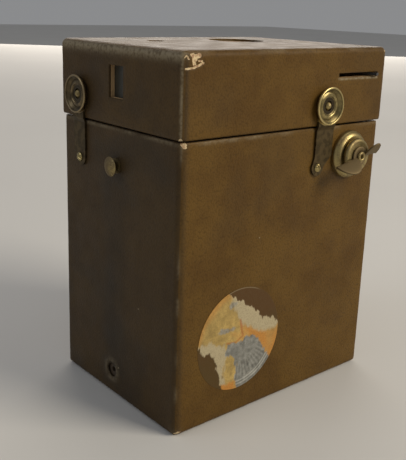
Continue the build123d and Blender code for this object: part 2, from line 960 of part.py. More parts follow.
def shutter_pivot():
    """The rivet that the blade turns on, with the washer under the blade."""
    washer = blade_low - part_gap
    head = blade_high + part_gap
    return turned(
        (slit_x, blade_pivot_y, 0),
        (0, 0, 1),
        (0, board_front_z),
        (2 * blade_pivot_radius, board_front_z),
        (2 * blade_pivot_radius, washer),
        (blade_pivot_radius, washer),
        (blade_pivot_radius, head),
        (2 * blade_pivot_radius, head),
        cap(2 * blade_pivot_radius, head, stop_pin_rise),
    )


def shutter_stops():
    """The two pins on the board that stop the blade at each end of its swing."""
    clear = degrees(asin((stop_pin_radius + stop_pin_gap) / stop_pin_distance))
    high = lens_bearing + blade_swing + blade_cover + clear
    low = lens_bearing - blade_cover - blade_swing - clear
    pins = []
    for bearing in (low, high):
        x = slit_x + stop_pin_distance * cos(radians(bearing))
        y = blade_pivot_y + stop_pin_distance * sin(radians(bearing))
        height = blade_high + stop_pin_rise - board_front_z
        pins.append(rod((x, y, board_front_z), (0, 0, 1), stop_pin_radius, height))
    return Compound(pins)


def shutter_spring():
    """The hairpin spring that snaps the blade over, a coil with two straight legs, and its post."""
    x = slit_x + spring_right
    y = blade_pivot_y + spring_up
    z = blade_high + 3 * spring_wire
    turn = spring_coil_radius
    path = Line((-turn, -spring_long_leg), (-turn, 0))
    path += CenterArc((0, 0), turn, 180, -270)
    path += Line((0, -turn), (spring_short_leg, -turn))
    start = Plane(origin=(-turn, -spring_long_leg, 0), z_dir=(0, 1, 0))
    coil = Pos(x, y, z) * sweep(start * Circle(spring_wire), path)
    post_radius = turn - 2 * spring_wire
    post = rod((x, y, board_front_z), (0, 0, 1), post_radius, z + spring_wire - board_front_z)
    return coil, post


# ---- finder ----
def finder_lens():
    """The small round lens behind the finder's hole."""
    return rod((finder_x, finder_y, panel_inner_z), (0, 0, 1), finder_glass_radius, finder_glass_thickness)


def finder_screen():
    """The ground glass in the window on the narrow side."""
    x = finder_screen_depth - front_half_width
    half = window_width / 2
    rise = window_height / 2
    plate = block(x, x + finder_screen_thickness, -half, half, -rise, rise)
    return Pos(0, window_y, window_z) * plate


def finder_mirror():
    """The mirror that turns the finder's view out to the window."""
    run_x = -front_inner_half_width - finder_x
    run_y = window_y - finder_y
    run = hypot(run_x, run_y)
    normal = (run_x / run, run_y / run, 1)
    across = (-run_y / run, run_x / run, 0)
    plane = Plane(origin=(finder_x, finder_y, window_z), x_dir=across, z_dir=normal)
    plate = Box(finder_mirror_width, finder_mirror_length, finder_mirror_sheet)
    return plane * (Pos(0, 0, -finder_mirror_sheet / 2) * plate)


def finder_box():
    """The blackened tin box round the mirror, open to the finder lens and to the window."""
    low_x, high_x, low_y, high_y = finder_box_span()
    top = panel_inner_z - glue_gap
    low = panel_inner_z - finder_box_depth
    sheet = finder_sheet
    shell = block(low_x, high_x, low_y, high_y, low, top)
    shell -= block(low_x + sheet, high_x - sheet, low_y + sheet, high_y - sheet, low + sheet, top + 1)
    half = window_width / 2
    rise = window_height / 2
    shell -= block(low_x - 1, low_x + 2, window_y - half, window_y + half, window_z - rise, window_z + rise)
    return shell


# ---- all sub-parts ----
side_skin, back_skin = case_covering()
red_glass, red_eyelet = red_window()
(side_foot, side_spring), (end_foot, end_spring) = clasps()
takeup_core, takeup_flanges = spool(takeup_x, True)
supply_core, supply_flanges = spool(supply_x, False)
hairpin, hairpin_post = shutter_spring()

parts = {
    "rear_case": rear_case(),
    "case_leather": side_skin,
    "back_leather": back_skin,
    "side_label": side_label(),
    "red_window": red_glass,
    "red_window_eyelet": red_eyelet,
    "mouth_frame": mouth_frame(),
    "side_clasp_foot": side_foot,
    "side_clasp_spring": side_spring,
    "end_clasp_foot": end_foot,
    "end_clasp_spring": end_spring,
    "clasp_screws": clasp_screws(),
    "clasp_studs": clasp_studs(),
    "strap_stud": strap_stud(),
    "key_flange": key_flange(),
    "key_bush": key_bush(),
    "key_collar": key_collar(),
    "key_wing": key_wing(),
    "key_shaft": key_shaft(),
    "carrier_board_near": carrier_board(-1),
    "carrier_board_far": carrier_board(1),
    "carrier_ties": carrier_ties(),
    "cone": cone(),
    "film_gate": film_gate(),
    "supply_guide_roller": roller(-roller_x),
    "takeup_guide_roller": roller(roller_x),
    "takeup_spool_core": takeup_core,
    "takeup_spool_flanges": takeup_flanges,
    "supply_spool_core": supply_core,
    "supply_spool_flanges": supply_flanges,
    "spool_pins": spool_pins(),
    "supply_brake": supply_brake(),
    "front_case": front_case(),
    "front_leather": front_leather(),
    "lens_board": lens_board(),
    "lens_cell": lens_cell(),
    "lens_glass": lens_glass(),
    "lens_ring": lens_ring(),
    "aperture_stop": aperture_stop(),
    "shutter_blade": shutter_blade(),
    "shutter_pivot": shutter_pivot(),
    "shutter_stops": shutter_stops(),
    "shutter_spring": hairpin,
    "shutter_spring_post": hairpin_post,
    "finder_lens": finder_lens(),
    "finder_screen": finder_screen(),
    "finder_mirror": finder_mirror(),
    "finder_box": finder_box(),
}

os.makedirs("parts", exist_ok=True)
for name, solid in parts.items():
    solid.label = name
    export_step(solid, f"parts/{name}.step")
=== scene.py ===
"""Looks for a small leather-covered box camera that stands on its back.

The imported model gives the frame, the bodies and every place. This file gives the old leather with
its rubbed edges, the torn label, the slotted screws, the stamped key, every finish and the stage.
"""

import math

import bmesh
import bpy
import numpy as np
from mathutils import Matrix, Vector


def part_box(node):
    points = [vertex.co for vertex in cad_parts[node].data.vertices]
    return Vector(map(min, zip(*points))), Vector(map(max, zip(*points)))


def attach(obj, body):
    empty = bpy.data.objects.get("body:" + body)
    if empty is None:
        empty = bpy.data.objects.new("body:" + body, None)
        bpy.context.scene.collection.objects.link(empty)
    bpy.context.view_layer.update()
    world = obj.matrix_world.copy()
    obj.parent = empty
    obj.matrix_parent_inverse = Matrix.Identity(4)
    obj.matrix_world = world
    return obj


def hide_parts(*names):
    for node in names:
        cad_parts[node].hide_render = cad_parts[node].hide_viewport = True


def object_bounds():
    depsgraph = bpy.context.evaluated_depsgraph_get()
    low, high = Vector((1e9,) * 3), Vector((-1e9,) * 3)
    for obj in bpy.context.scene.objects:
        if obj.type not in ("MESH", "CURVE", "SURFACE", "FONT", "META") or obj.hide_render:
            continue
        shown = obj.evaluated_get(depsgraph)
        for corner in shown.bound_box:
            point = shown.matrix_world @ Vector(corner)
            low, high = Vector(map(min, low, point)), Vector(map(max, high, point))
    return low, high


bl_info = {
    "name": "Box camera looks",
    "version": (1, 0, 0),
    "blender": (4, 5, 0),
    "location": "View3D > Sidebar > Box camera",
    "description": "Leather, brass, label and stage for a wooden box camera",
    "category": "Object",
}

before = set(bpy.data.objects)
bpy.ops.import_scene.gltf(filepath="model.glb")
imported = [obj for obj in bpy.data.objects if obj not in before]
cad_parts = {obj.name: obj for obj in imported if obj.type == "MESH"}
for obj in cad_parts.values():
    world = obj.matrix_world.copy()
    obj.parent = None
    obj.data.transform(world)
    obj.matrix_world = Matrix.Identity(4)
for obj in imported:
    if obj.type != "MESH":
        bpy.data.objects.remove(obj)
cad_low, cad_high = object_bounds()

MM = 0.001


def span(node):
    """The lowest and highest corner of a node, as arrays."""
    low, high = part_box(node)
    return np.array(low), np.array(high)


def middle(node):
    """The middle of a node's box, as an array."""
    low, high = span(node)
    return (low + high) / 2


back_low, back_high = span("back_leather")
case_high = span("case_leather")[1]
front_low, front_high = span("front_leather")
seam_z = span("rear_case")[1][2]
leather_thickness = back_high[2] - back_low[2]


# ---- settings ----
class LeatherSettings(bpy.types.PropertyGroup):
    """Sizes and colours of the leather covering."""

    grain: bpy.props.FloatProperty(
        name="Grain", description="Width of one pebble of the grain", default=0.55 * MM, unit="LENGTH"
    )
    grain_height: bpy.props.FloatProperty(
        name="Grain height", description="Height of the pebbles", default=0.05 * MM, unit="LENGTH"
    )
    waviness: bpy.props.FloatProperty(
        name="Waviness", description="How far the glued leather waves", default=0.05 * MM, unit="LENGTH"
    )
    light: bpy.props.FloatVectorProperty(
        name="Light brown", description="Leather where it is handled", default=(0.124, 0.067, 0.013), subtype="COLOR"
    )
    # The dark brown is also the base of the painted shade in the hollows of the grain.
    dark: bpy.props.FloatVectorProperty(
        name="Dark brown", description="Leather in its hollows", default=(0.090, 0.046, 0.009), subtype="COLOR"
    )
    # This grey also paints the shade over the narrow sides and beside the near edges.
    soiled: bpy.props.FloatVectorProperty(
        name="Soiled", description="Leather grey with old dirt", default=(0.030, 0.026, 0.020), subtype="COLOR"
    )
    rubbed: bpy.props.FloatVectorProperty(
        name="Rubbed", description="Leather on the worn edges", default=(0.27, 0.22, 0.14), subtype="COLOR"
    )
    board: bpy.props.FloatVectorProperty(
        name="Bare board", description="Pale board where leather is gone", default=(0.66, 0.52, 0.31), subtype="COLOR"
    )
    board_fibre: bpy.props.FloatVectorProperty(
        name="Board fibre", description="Brown fibres in the board", default=(0.36, 0.22, 0.13), subtype="COLOR"
    )


class BrassSettings(bpy.types.PropertyGroup):
    """Colours of the brass fittings, and how far the thumb piece is turned."""

    key_turn: bpy.props.FloatProperty(
        name="Key turn", description="Turn of the thumb piece from level", default=math.radians(12), subtype="ANGLE"
    )
    clean: bpy.props.FloatVectorProperty(
        name="Clean brass", description="Brass that fingers keep bright", default=(0.38, 0.30, 0.13), subtype="COLOR"
    )
    # A quarter of this colour is also the painted shade in the clasps' cups.
    tarnished: bpy.props.FloatVectorProperty(
        name="Tarnished brass", description="Brass that has gone dull", default=(0.20, 0.15, 0.08), subtype="COLOR"
    )
    browned: bpy.props.FloatVectorProperty(
        name="Browned brass", description="Brass gone brown", default=(0.105, 0.075, 0.035), subtype="COLOR"
    )


class LabelSettings(bpy.types.PropertyGroup):
    """Colours of the torn label."""

    paper: bpy.props.FloatVectorProperty(
        name="Paper", description="Torn, unprinted paper", default=(0.44, 0.37, 0.23), subtype="COLOR"
    )
    ochre: bpy.props.FloatVectorProperty(
        name="Ochre", description="Yellowed varnish", default=(0.43, 0.30, 0.10), subtype="COLOR"
    )
    orange: bpy.props.FloatVectorProperty(
        name="Orange", description="Varnish at its darkest", default=(0.50, 0.22, 0.045), subtype="COLOR"
    )
    foil: bpy.props.FloatVectorProperty(
        name="Foil", description="Silvery face of the label", default=(0.31, 0.31, 0.28), subtype="COLOR"
    )
    glue: bpy.props.FloatVectorProperty(
        name="Glue", description="Stain where the label is gone", default=(0.088, 0.044, 0.013), subtype="COLOR"
    )
    glue_low: bpy.props.FloatVectorProperty(
        name="Glue low down", description="The same stain at the foot", default=(0.080, 0.047, 0.013), subtype="COLOR"
    )
    fold: bpy.props.FloatVectorProperty(
        name="Fold", description="Reddish crack along the fold", default=(0.36, 0.12, 0.035), subtype="COLOR"
    )


class StageSettings(bpy.types.PropertyGroup):
    """The camera and the floor."""

    azimuth: bpy.props.FloatProperty(
        name="Azimuth", description="Heading of the view from +X", default=math.radians(49.85), subtype="ANGLE"
    )
    elevation: bpy.props.FloatProperty(
        name="Elevation", description="How far the view looks down", default=math.radians(15.36), subtype="ANGLE"
    )
    roll: bpy.props.FloatProperty(
        name="Roll", description="Turn of the view about itself", default=math.radians(1.84), subtype="ANGLE"
    )
    distance: bpy.props.FloatProperty(
        name="Distance", description="From the aim point to the viewer", default=227.4 * MM, unit="LENGTH"
    )
    across: bpy.props.FloatProperty(
        name="Across", description="Viewer moved to the right", default=-6.64 * MM, unit="LENGTH"
    )
    rise: bpy.props.FloatProperty(
        name="Rise", description="Viewer moved up", default=1.87 * MM, unit="LENGTH"
    )
    lens: bpy.props.FloatProperty(
        name="Lens", description="Focal length on a 36 mm sensor", default=57.67, unit="CAMERA"
    )
    shift: bpy.props.FloatVectorProperty(
        name="Shift", description="Shift of the picture, in widths", default=(0.0104, -0.0498), size=2
    )
    floor: bpy.props.FloatVectorProperty(
        name="Floor", description="Colour of the floor", default=(0.62, 0.61, 0.59), subtype="COLOR"
    )


# ---- noise and meshes ----
def value_noise(points, cell, seed):
    """Smooth noise from -1 to 1: random values on a cubic lattice, eased between its corners."""
    rng = np.random.default_rng(seed)
    size = 64
    lattice = rng.uniform(-1, 1, (size, size, size))
    place = points / cell + 1000.5
    base = np.floor(place).astype(int)
    part = place - base
    ease = part * part * (3 - 2 * part)
    total = np.zeros(len(points))
    for dx in (0, 1):
        for dy in (0, 1):
            for dz in (0, 1):
                weight = np.prod(np.where((dx, dy, dz), ease, 1 - ease), axis=1)
                corner = (base + (dx, dy, dz)) % size
                total += weight * lattice[corner[:, 0], corner[:, 1], corner[:, 2]]
    return total


def layered_noise(points, cell, seed, layers=3):
    """Noise in layers, each half as wide and half as strong as the one before."""
    return sum(value_noise(points, cell / 2**k, seed + k) / 2**k for k in range(layers))


def smooth_step(low, high, values):
    """0 below low, 1 above high, and eased between."""
    t = np.clip((values - low) / (high - low), 0, 1)
    return t * t * (3 - 2 * t)


def add_piece(name, points, faces, body, material, slot, **attributes):
    """A mesh object in the row frame, smooth, with its attributes, that rides on a body."""
    mesh = bpy.data.meshes.new(name)
    mesh.from_pydata(points, [], faces)
    for label, values in attributes.items():
        layer = mesh.attributes.new(label, "FLOAT", "POINT")
        layer.data.foreach_set("value", np.asarray(values, np.float32))
    mesh.polygons.foreach_set("use_smooth", np.ones(len(mesh.polygons), bool))
    mesh.materials.append(material)
    piece = bpy.data.objects.new(name, mesh)
    bpy.context.scene.collection.objects.link(piece)
    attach(piece, body)
    return piece


def close_up(piece):
    """Merges the points on seams and poles and turns every face outwards."""
    work = bmesh.new()
    work.from_mesh(piece.data)
    bmesh.ops.remove_doubles(work, verts=work.verts, dist=1e-7)
    bmesh.ops.dissolve_degenerate(work, edges=work.edges, dist=1e-8)
    bmesh.ops.recalc_face_normals(work, faces=work.faces)
    work.to_mesh(piece.data)
    work.free()


def grid_faces(rows, columns, closed_rows=False, closed_columns=False):
    """Four-sided faces of a grid of points numbered row by row."""
    down = np.arange(rows if closed_rows else rows - 1)
    along = np.arange(columns if closed_columns else columns - 1)
    i, j = (part.ravel() for part in np.meshgrid(down, along, indexing="ij"))
    i_next, j_next = (i + 1) % rows, (j + 1) % columns
    return np.stack([i * columns + j, i_next * columns + j, i_next * columns + j_next, i * columns + j_next], 1)


# ---- materials ----
class Recipe:
    """A material being made: it adds shader nodes and joins them."""

    def __init__(self, name, **sockets):
        self.material = bpy.data.materials.new(name)
        self.material.use_nodes = True
        self.tree = self.material.node_tree
        self.shader = self.tree.nodes["Principled BSDF"]
        self.place = self.node("ShaderNodeTexCoord").outputs["Object"]
        for label, value in sockets.items():
            self.shader.inputs[label.replace("_", " ")].default_value = value

    def node(self, kind, **settings):
        """A new node with its settings."""
        made = self.tree.nodes.new(kind)
        for label, value in settings.items():
            setattr(made, label, value)
        return made

    def feed(self, socket, value):
        """Puts a number, a colour or another node's output into a socket."""
        if isinstance(value, bpy.types.NodeSocket):
            self.tree.links.new(value, socket)
        elif hasattr(value, "__len__") and len(value) == 3 and socket.type == "RGBA":
            socket.default_value = (*value, 1.0)
        else:
            socket.default_value = value

    def noise(self, width, detail=3.0, place=None, distortion=0.0):
        """Noise whose features are about that wide."""
        made = self.node("ShaderNodeTexNoise")
        self.feed(made.inputs["Vector"], place or self.place)
        made.inputs["Scale"].default_value = 1 / width
        made.inputs["Detail"].default_value = detail
        made.inputs["Distortion"].default_value = distortion
        return made.outputs["Fac"]

    def cells(self, width, feature="F1", smoothness=None):
        """Distance to the nearest cell centre, in cells that are about that wide."""
        made = self.node("ShaderNodeTexVoronoi", feature=feature)
        self.feed(made.inputs["Vector"], self.place)
        made.inputs["Scale"].default_value = 1 / width
        if smoothness is not None:
            made.inputs["Smoothness"].default_value = smoothness
        return made.outputs["Distance"]

    def attribute(self, label, output="Fac"):
        """A number or a colour that the mesh carries at each point."""
        return self.node("ShaderNodeAttribute", attribute_name=label).outputs[output]

    def reach(self, centre, axis):
        """Distance from the line through a place along an axis."""
        away = self.node("ShaderNodeVectorMath", operation="SUBTRACT")
        self.feed(away.inputs[0], self.place)
        away.inputs[1].default_value = centre
        flat = self.node("ShaderNodeVectorMath", operation="MULTIPLY")
        self.feed(flat.inputs[0], away.outputs[0])
        flat.inputs[1].default_value = [0.0 if axis == number else 1.0 for number in range(3)]
        length = self.node("ShaderNodeVectorMath", operation="LENGTH")
        self.feed(length.inputs[0], flat.outputs[0])
        return length.outputs["Value"]

    def math(self, operation, first, second):
        """Arithmetic on two numbers."""
        made = self.node("ShaderNodeMath", operation=operation)
        self.feed(made.inputs[0], first)
        self.feed(made.inputs[1], second)
        return made.outputs[0]

    def step(self, value, low, high, to_low=0.0, to_high=1.0):
        """Eases a number from one range to another."""
        made = self.node("ShaderNodeMapRange", interpolation_type="SMOOTHSTEP")
        labels = ("Value", "From Min", "From Max", "To Min", "To Max")
        for label, number in zip(labels, (value, low, high, to_low, to_high)):
            self.feed(made.inputs[label], number)
        return made.outputs["Result"]

    def mix(self, factor, first, second):
        """A colour between two colours."""
        made = self.node("ShaderNodeMix", data_type="RGBA")
        self.feed(made.inputs["Factor"], factor)
        first_colour, second_colour = (socket for socket in made.inputs if socket.type == "RGBA")
        self.feed(first_colour, first)
        self.feed(second_colour, second)
        return next(socket for socket in made.outputs if socket.type == "RGBA")

    def bump(self, height, distance):
        """A normal that follows a height, which runs from 0 to 1 over the distance."""
        made = self.node("ShaderNodeBump")
        made.inputs["Distance"].default_value = distance
        made.inputs["Strength"].default_value = 1.0
        self.feed(made.inputs["Height"], height)
        return made.outputs["Normal"]

    def finish(self, colour=None, roughness=None, normal=None):
        """Joins what was made to the shader and gives the material."""
        for label, value in (("Base Color", colour), ("Roughness", roughness), ("Normal", normal)):
            if value is not None:
                self.feed(self.shader.inputs[label], value)
        return self.material


def dress(node, material):
    """Gives a CAD node its material."""
    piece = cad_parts[node]
    if not piece.material_slots:
        piece.data.materials.append(material)
    for slot in piece.material_slots:
        slot.material = material


def leather_material(settings):
    """Pebbled brown leather: cells and noise for the grain, even browns, painted shade in the grain's hollows, grime
    and painted shade from the mesh, rubbed and torn places.
    """
    made = Recipe("old_leather", Specular_IOR_Level=0.14)
    pebble = made.cells(settings.grain, "SMOOTH_F1", 0.4)
    crumb = made.noise(settings.grain * 0.6, 2.0)
    broad = made.noise(22 * MM, 3.0)
    patch = made.noise(5 * MM, 4.0)
    tone = made.math("ADD", made.math("MULTIPLY", broad, 0.6), made.math("MULTIPLY", patch, 0.4))
    colour = made.mix(made.step(tone, 0.34, 0.66), settings.dark[:], settings.light[:])
    # Painted shade: the hollows of the grain are darkened towards a deeper brown.
    colour = made.mix(made.step(pebble, 0.4, 0.9, 0, 0.4), colour, tuple(0.45 * part for part in settings.dark))
    # Grime and painted shade from the mesh: grey dirty patches, and painted shade over the narrow sides and beside the
    # near edges.
    colour = made.mix(made.attribute("soil"), colour, settings.soiled[:])
    dots = made.step(made.cells(13 * MM), 0.014, 0.022, 0.8, 0.0)
    colour = made.mix(dots, colour, settings.rubbed[:])
    rub = made.math("MULTIPLY", made.attribute("rub"), made.step(made.noise(0.9 * MM, 4.0), 0.3, 0.6, 0.35, 1.0))
    colour = made.mix(rub, colour, settings.rubbed[:])
    ragged = made.math("SUBTRACT", made.noise(0.7 * MM, 3.0), 0.5)
    torn = made.math("ADD", made.attribute("bare"), made.math("MULTIPLY", ragged, 0.5))
    torn = made.step(torn, 0.46, 0.56)
    board = made.mix(made.step(made.noise(0.8 * MM, 3.0), 0.42, 0.66), settings.board[:], settings.board_fibre[:])
    colour = made.mix(torn, colour, board)
    height = made.math("SUBTRACT", made.math("MULTIPLY", crumb, 0.6), pebble)
    height = made.math("MULTIPLY", height, made.math("SUBTRACT", 1.0, torn))
    shine = made.step(made.noise(6 * MM, 3.0), 0.3, 0.7, 0.40, 0.52)
    shine = made.math("ADD", shine, made.math("MULTIPLY", torn, 0.35))
    return made.finish(colour, shine, made.bump(height, settings.grain_height))


def wood_material(name, pale, deep):
    """Planed wood: a fine grain that runs along Z, from stretched noise."""
    made = Recipe(name, Roughness=0.6)
    stretched = made.node("ShaderNodeMapping")
    made.feed(stretched.inputs["Vector"], made.place)
    stretched.inputs["Scale"].default_value = (1.0, 1.0, 0.08)
    fibre = made.noise(0.7 * MM, 4.0, stretched.outputs["Vector"])
    ring = made.noise(3.5 * MM, 3.0, stretched.outputs["Vector"], 0.6)
    tone = made.math("ADD", made.math("MULTIPLY", fibre, 0.45), made.math("MULTIPLY", ring, 0.55))
    colour = made.mix(made.step(tone, 0.38, 0.62), deep, pale)
    return made.finish(colour, made.step(fibre, 0.3, 0.7, 0.5, 0.72), made.bump(tone, 0.08 * MM))


def brass_material(name, settings, wear_and_shade=0.5, roughness=0.3):
    """Old lacquered brass: clean metal under patches and specks of dull brown tarnish."""
    made = Recipe(name, Metallic=1.0)
    cloud = made.noise(3.2 * MM, 4.0, distortion=0.4)
    speck = made.noise(0.5 * MM, 3.0)
    tarnish = made.math("ADD", made.math("MULTIPLY", cloud, 0.6), made.math("MULTIPLY", speck, 0.4))
    tarnish = made.step(tarnish, wear_and_shade - 0.12, wear_and_shade + 0.16)
    colour = made.mix(tarnish, settings.clean[:], settings.tarnished[:])
    rough = made.step(tarnish, 0.0, 1.0, roughness, roughness + 0.25)
    scratch = made.noise(0.16 * MM, 2.0)
    return made.finish(colour, rough, made.bump(scratch, 0.012 * MM))


def clasp_material(name, settings, disc, centre, axis, radius):
    """A clasp: browned on its strip, brass on its dished disc, with a painted highlight on the bead, painted shade in
    the dish and deeper painted shade in the cup.
    """
    made = Recipe(name, Metallic=0.9)
    cloud = made.noise(1.6 * MM, 4.0)
    brass = made.mix(made.step(cloud, 0.35, 0.62), disc, tuple(0.5 * part for part in disc))
    far = made.math("DIVIDE", made.reach(centre, axis), radius)
    # Painted shade: the slope of the dish is darkened.
    brass = made.mix(made.step(far, 0.55, 0.72, 0.0, 0.6), brass, tuple(0.4 * part for part in disc))
    # Painted highlight: the bead round the rim is brightened.
    brass = made.mix(made.step(far, 0.86, 0.97), brass, tuple(1.5 * part for part in disc))
    # Painted shade: the cup inside the dish is made nearly black from the tarnished colour.
    brass = made.mix(made.step(far, 0.42, 0.50, 1.0, 0.0), brass, tuple(0.25 * part for part in settings.tarnished))
    strip = made.mix(made.step(cloud, 0.38, 0.60), settings.browned[:], tuple(0.6 * part for part in settings.browned))
    colour = made.mix(made.step(far, 1.0, 1.04), brass, strip)
    rough = made.step(far, 0.95, 1.05, 0.3, 0.5)
    return made.finish(colour, rough, made.bump(made.noise(0.16 * MM, 2.0), 0.012 * MM))


def plain_metal(name, colour, roughness, metallic=1.0):
    """A thin sheet metal with faint scratches and dull patches."""
    made = Recipe(name, Metallic=metallic)
    cloud = made.noise(4 * MM, 4.0)
    tone = made.mix(made.step(cloud, 0.35, 0.65), colour, tuple(0.6 * part for part in colour))
    rough = made.step(cloud, 0.3, 0.7, roughness, roughness + 0.2)
    return made.finish(tone, rough, made.bump(made.noise(0.2 * MM, 2.0), 0.01 * MM))


def card_material():
    """Black card with a soft felted surface."""
    made = Recipe("black_card", Roughness=0.85)
    fibre = made.noise(0.3 * MM, 4.0)
    colour = made.mix(made.step(fibre, 0.3, 0.7), (0.012, 0.012, 0.012), (0.03, 0.028, 0.026))
    return made.finish(colour, None, made.bump(fibre, 0.04 * MM))


def glass_material(name, colour, roughness, transmission=1.0):
    """Clear, ground or red glass, with a faint haze of dust."""
    made = Recipe(name, Transmission_Weight=transmission, IOR=1.5)
    dust = made.noise(1.2 * MM, 4.0)
    tone = made.mix(made.step(dust, 0.5, 0.8, 0, 0.2), colour, tuple(0.75 * part for part in colour))
    return made.finish(tone, made.step(dust, 0.3, 0.8, roughness, roughness + 0.12))


# ---- leather ----
edge_cuts = 5
worn_band = 2.6 * MM
chip_step = 0.24 * MM
fine_step = 0.45 * MM
coarse_step = 1.3 * MM
rim_gap = 0.05 * MM
square_share = 0.8  # half side of the square that a round opening is cut from, as a share of its radius

# Places and sizes that no node's box gives; places are (second axis, third axis) of their side.
case_edges = np.array([1.8, 1.8, 1.4]) * MM
front_edges = np.array([2.0, 1.5, 1.7]) * MM
strap_hole = np.array([2.0, 7.8]) * MM
strap_hole_radius = 2.1 * MM
lens_opening = 8.5 * MM
finder_opening = 2.5 * MM
slit_middle_x = 25.9 * MM
slit_half = np.array([0.65, 8.6]) * MM


def grid_lines(low, high, low_radius, high_radius, marks=()):
    """Places of grid lines from low to high: close in rounded edges, near them and at the marks.

    A mark is (first, last, step).
    """
    bands = list(marks)
    for end, inwards, radius in ((low, 1, low_radius), (high, -1, high_radius)):
        if radius:
            bands.append((*sorted((end, end + inwards * radius)), radius / edge_cuts))
        bands.append((*sorted((end, end + inwards * (radius + worn_band))), fine_step))
    stops = [low]
    for stop in sorted(end for band in bands for end in band[:2]):
        if stop - stops[-1] > 0.02 * MM and high - stop > 0.02 * MM:
            stops.append(stop)
    stops.append(high)
    lines = [low]
    for a, b in zip(stops, stops[1:]):
        steps = [step for first, last, step in bands if first <= (a + b) / 2 <= last]
        count = max(1, math.ceil((b - a) / min(steps + [coarse_step]) - 1e-6))
        lines.extend(np.linspace(a, b, count + 1)[1:])
    return np.array(lines)


def box_sheet(lines, sides):
    """Points and four-sided faces of the chosen sides of a sharp box, each side as (axis, -1 or 1)."""
    points, faces, start = [], [], 0
    for axis, side in sides:
        first, second = (axis + 1) % 3, (axis + 2) % 3
        a, b = np.meshgrid(lines[first], lines[second], indexing="ij")
        patch = np.empty((a.size, 3))
        patch[:, axis] = lines[axis][0 if side < 0 else -1]
        patch[:, first], patch[:, second] = a.ravel(), b.ravel()
        quads = grid_faces(*a.shape) + start
        points.append(patch)
        faces.append(quads if side > 0 else quads[:, ::-1])
        start += a.size
    points, faces = np.concatenate(points), np.concatenate(faces)
    _, keep, new = np.unique(np.round(points, 7), axis=0, return_index=True, return_inverse=True)
    return points[keep], new.ravel()[faces]


def cut_hole(points, faces, axis, plane, centre, reach, radius=None):
    """Opens a hole in a flat side: the faces inside the square or rectangle of the given reach go.

    With a radius the rim is round: a point at square distance q from the middle moves outwards by
    a share of the gap between the square and the circle, which falls to nothing at q = 1.8.
    """
    first, second = (axis + 1) % 3, (axis + 2) % 3
    reach = np.broadcast_to(reach, 2)
    offset = points[:, [first, second]] - centre
    square = np.max(np.abs(offset) / reach, axis=1)
    on_side = np.abs(points[:, axis] - plane) < 1e-6
    inside = on_side[faces].all(1) & (np.abs(offset[faces].mean(1)) < reach).all(1)
    if radius is not None:
        near = on_side & (square > 0.999) & (square < 1.8)
        share = 1 - (square[near] - 1) / 0.8
        length = np.linalg.norm(offset[near], axis=1)
        grow = 1 + share * (radius / length - 1 / square[near])
        points[np.ix_(near, [first, second])] = centre + offset[near] * grow[:, None]
    return points, faces[~inside]


def drop_loose(points, faces):
    """Leaves out the points that no face uses."""
    used, new = np.unique(faces, return_inverse=True)
    return points[used], new.reshape(faces.shape)


def round_over(points, low, high, radii, open_low, open_high):
    """Rounds a sharp box: each point moves to its core point plus radii times a unit direction.

    The core is the point clamped to the box that lies one radius inside. Gives the new points,
    their outward directions, and the distances along the surface to the edges and the corners.
    """
    core_low = np.where(open_low, -np.inf, low + radii)
    core_high = np.where(open_high, np.inf, high - radii)
    core = np.clip(points, core_low, core_high)
    way = (points - core) / radii
    way /= np.linalg.norm(way, axis=1)[:, None]
    out = way / radii
    out /= np.linalg.norm(out, axis=1)[:, None]
    to_low = np.where(open_low, np.inf, points - low)
    to_high = np.where(open_high, np.inf, high - points)
    distance = np.sort(np.minimum(to_low, to_high), axis=1)
    return core + radii * way, out, distance[:, 1], distance[:, 2]


def torn_field(points, tears):
    """1 inside a tear, 0.5 on its border and 0 far away. A tear is (start, end, half width)."""
    field = np.zeros(len(points))
    for start, end, half_width in tears:
        start, way = np.array(start), np.array(end) - start
        share = np.clip((points - start) @ way / max(way @ way, 1e-12), 0, 1)
        gone = 1 - np.linalg.norm(points - start - share[:, None] * way, axis=1) / half_width
        field = np.maximum(field, np.clip(0.5 + 0.5 * gone, 0, 1))
    return field


def add_leather(name, sheet, box, edges, top_open, tears, body, nodes, material, seed, wear_and_shade):
    """One leather covering: the rounded sheet, waved and worn, with its thickness inwards.

    It is open at the top or else at the bottom. The function given for it gives each point's lift, rubbing, and grime
    with painted shade.
    """
    points, faces = drop_loose(*sheet)
    low, high = box
    open_low, open_high = np.array([False, False, not top_open]), np.array([False, False, top_open])
    surface, out, to_edge, to_corner = round_over(points, low, high, edges, open_low, open_high)
    settings = bpy.context.scene.box_camera_leather
    bare = torn_field(points, tears)
    gone = smooth_step(0.46, 0.6, bare)
    wave = 0.7 * layered_noise(points, 14 * MM, seed + 10) + 0.3 * layered_noise(points, 3 * MM, seed + 20)
    depth = settings.waviness * (1 + wave) / 2 + 0.25 * MM * gone
    depth += 0.05 * MM * np.exp(-((to_edge / (1.5 * MM)) ** 2)) * (1 + value_noise(points, 2.5 * MM, seed + 30))
    to_rim = np.abs(points[:, 2] - (high[2] if top_open else low[2]))
    depth += 0.12 * MM * np.exp(-((to_rim / (0.5 * MM)) ** 2))
    patchy = smooth_step(-0.1, 0.7, value_noise(points, 5 * MM, seed + 40))
    rub = 0.35 * patchy * np.exp(-((to_edge / (0.7 * MM)) ** 2)) + 0.4 * np.exp(-((to_corner / (1.6 * MM)) ** 2))
    lift, rub_more, soil = wear_and_shade(points, low, high)
    surface = surface + out * (lift - depth)[:, None]
    rub = np.clip(np.maximum(rub, rub_more), 0, 1)
    piece = add_piece(name, surface, faces, body, material, "leather_cover", bare=bare, rub=rub, soil=soil)
    wall = piece.modifiers.new("thickness", "SOLIDIFY")
    wall.thickness = leather_thickness - 0.02 * MM
    wall.offset = -1
    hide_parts(*nodes)
    return piece


def mark(place, reach):
    """A band of fine grid lines about a place."""
    return place - reach, place + reach, fine_step


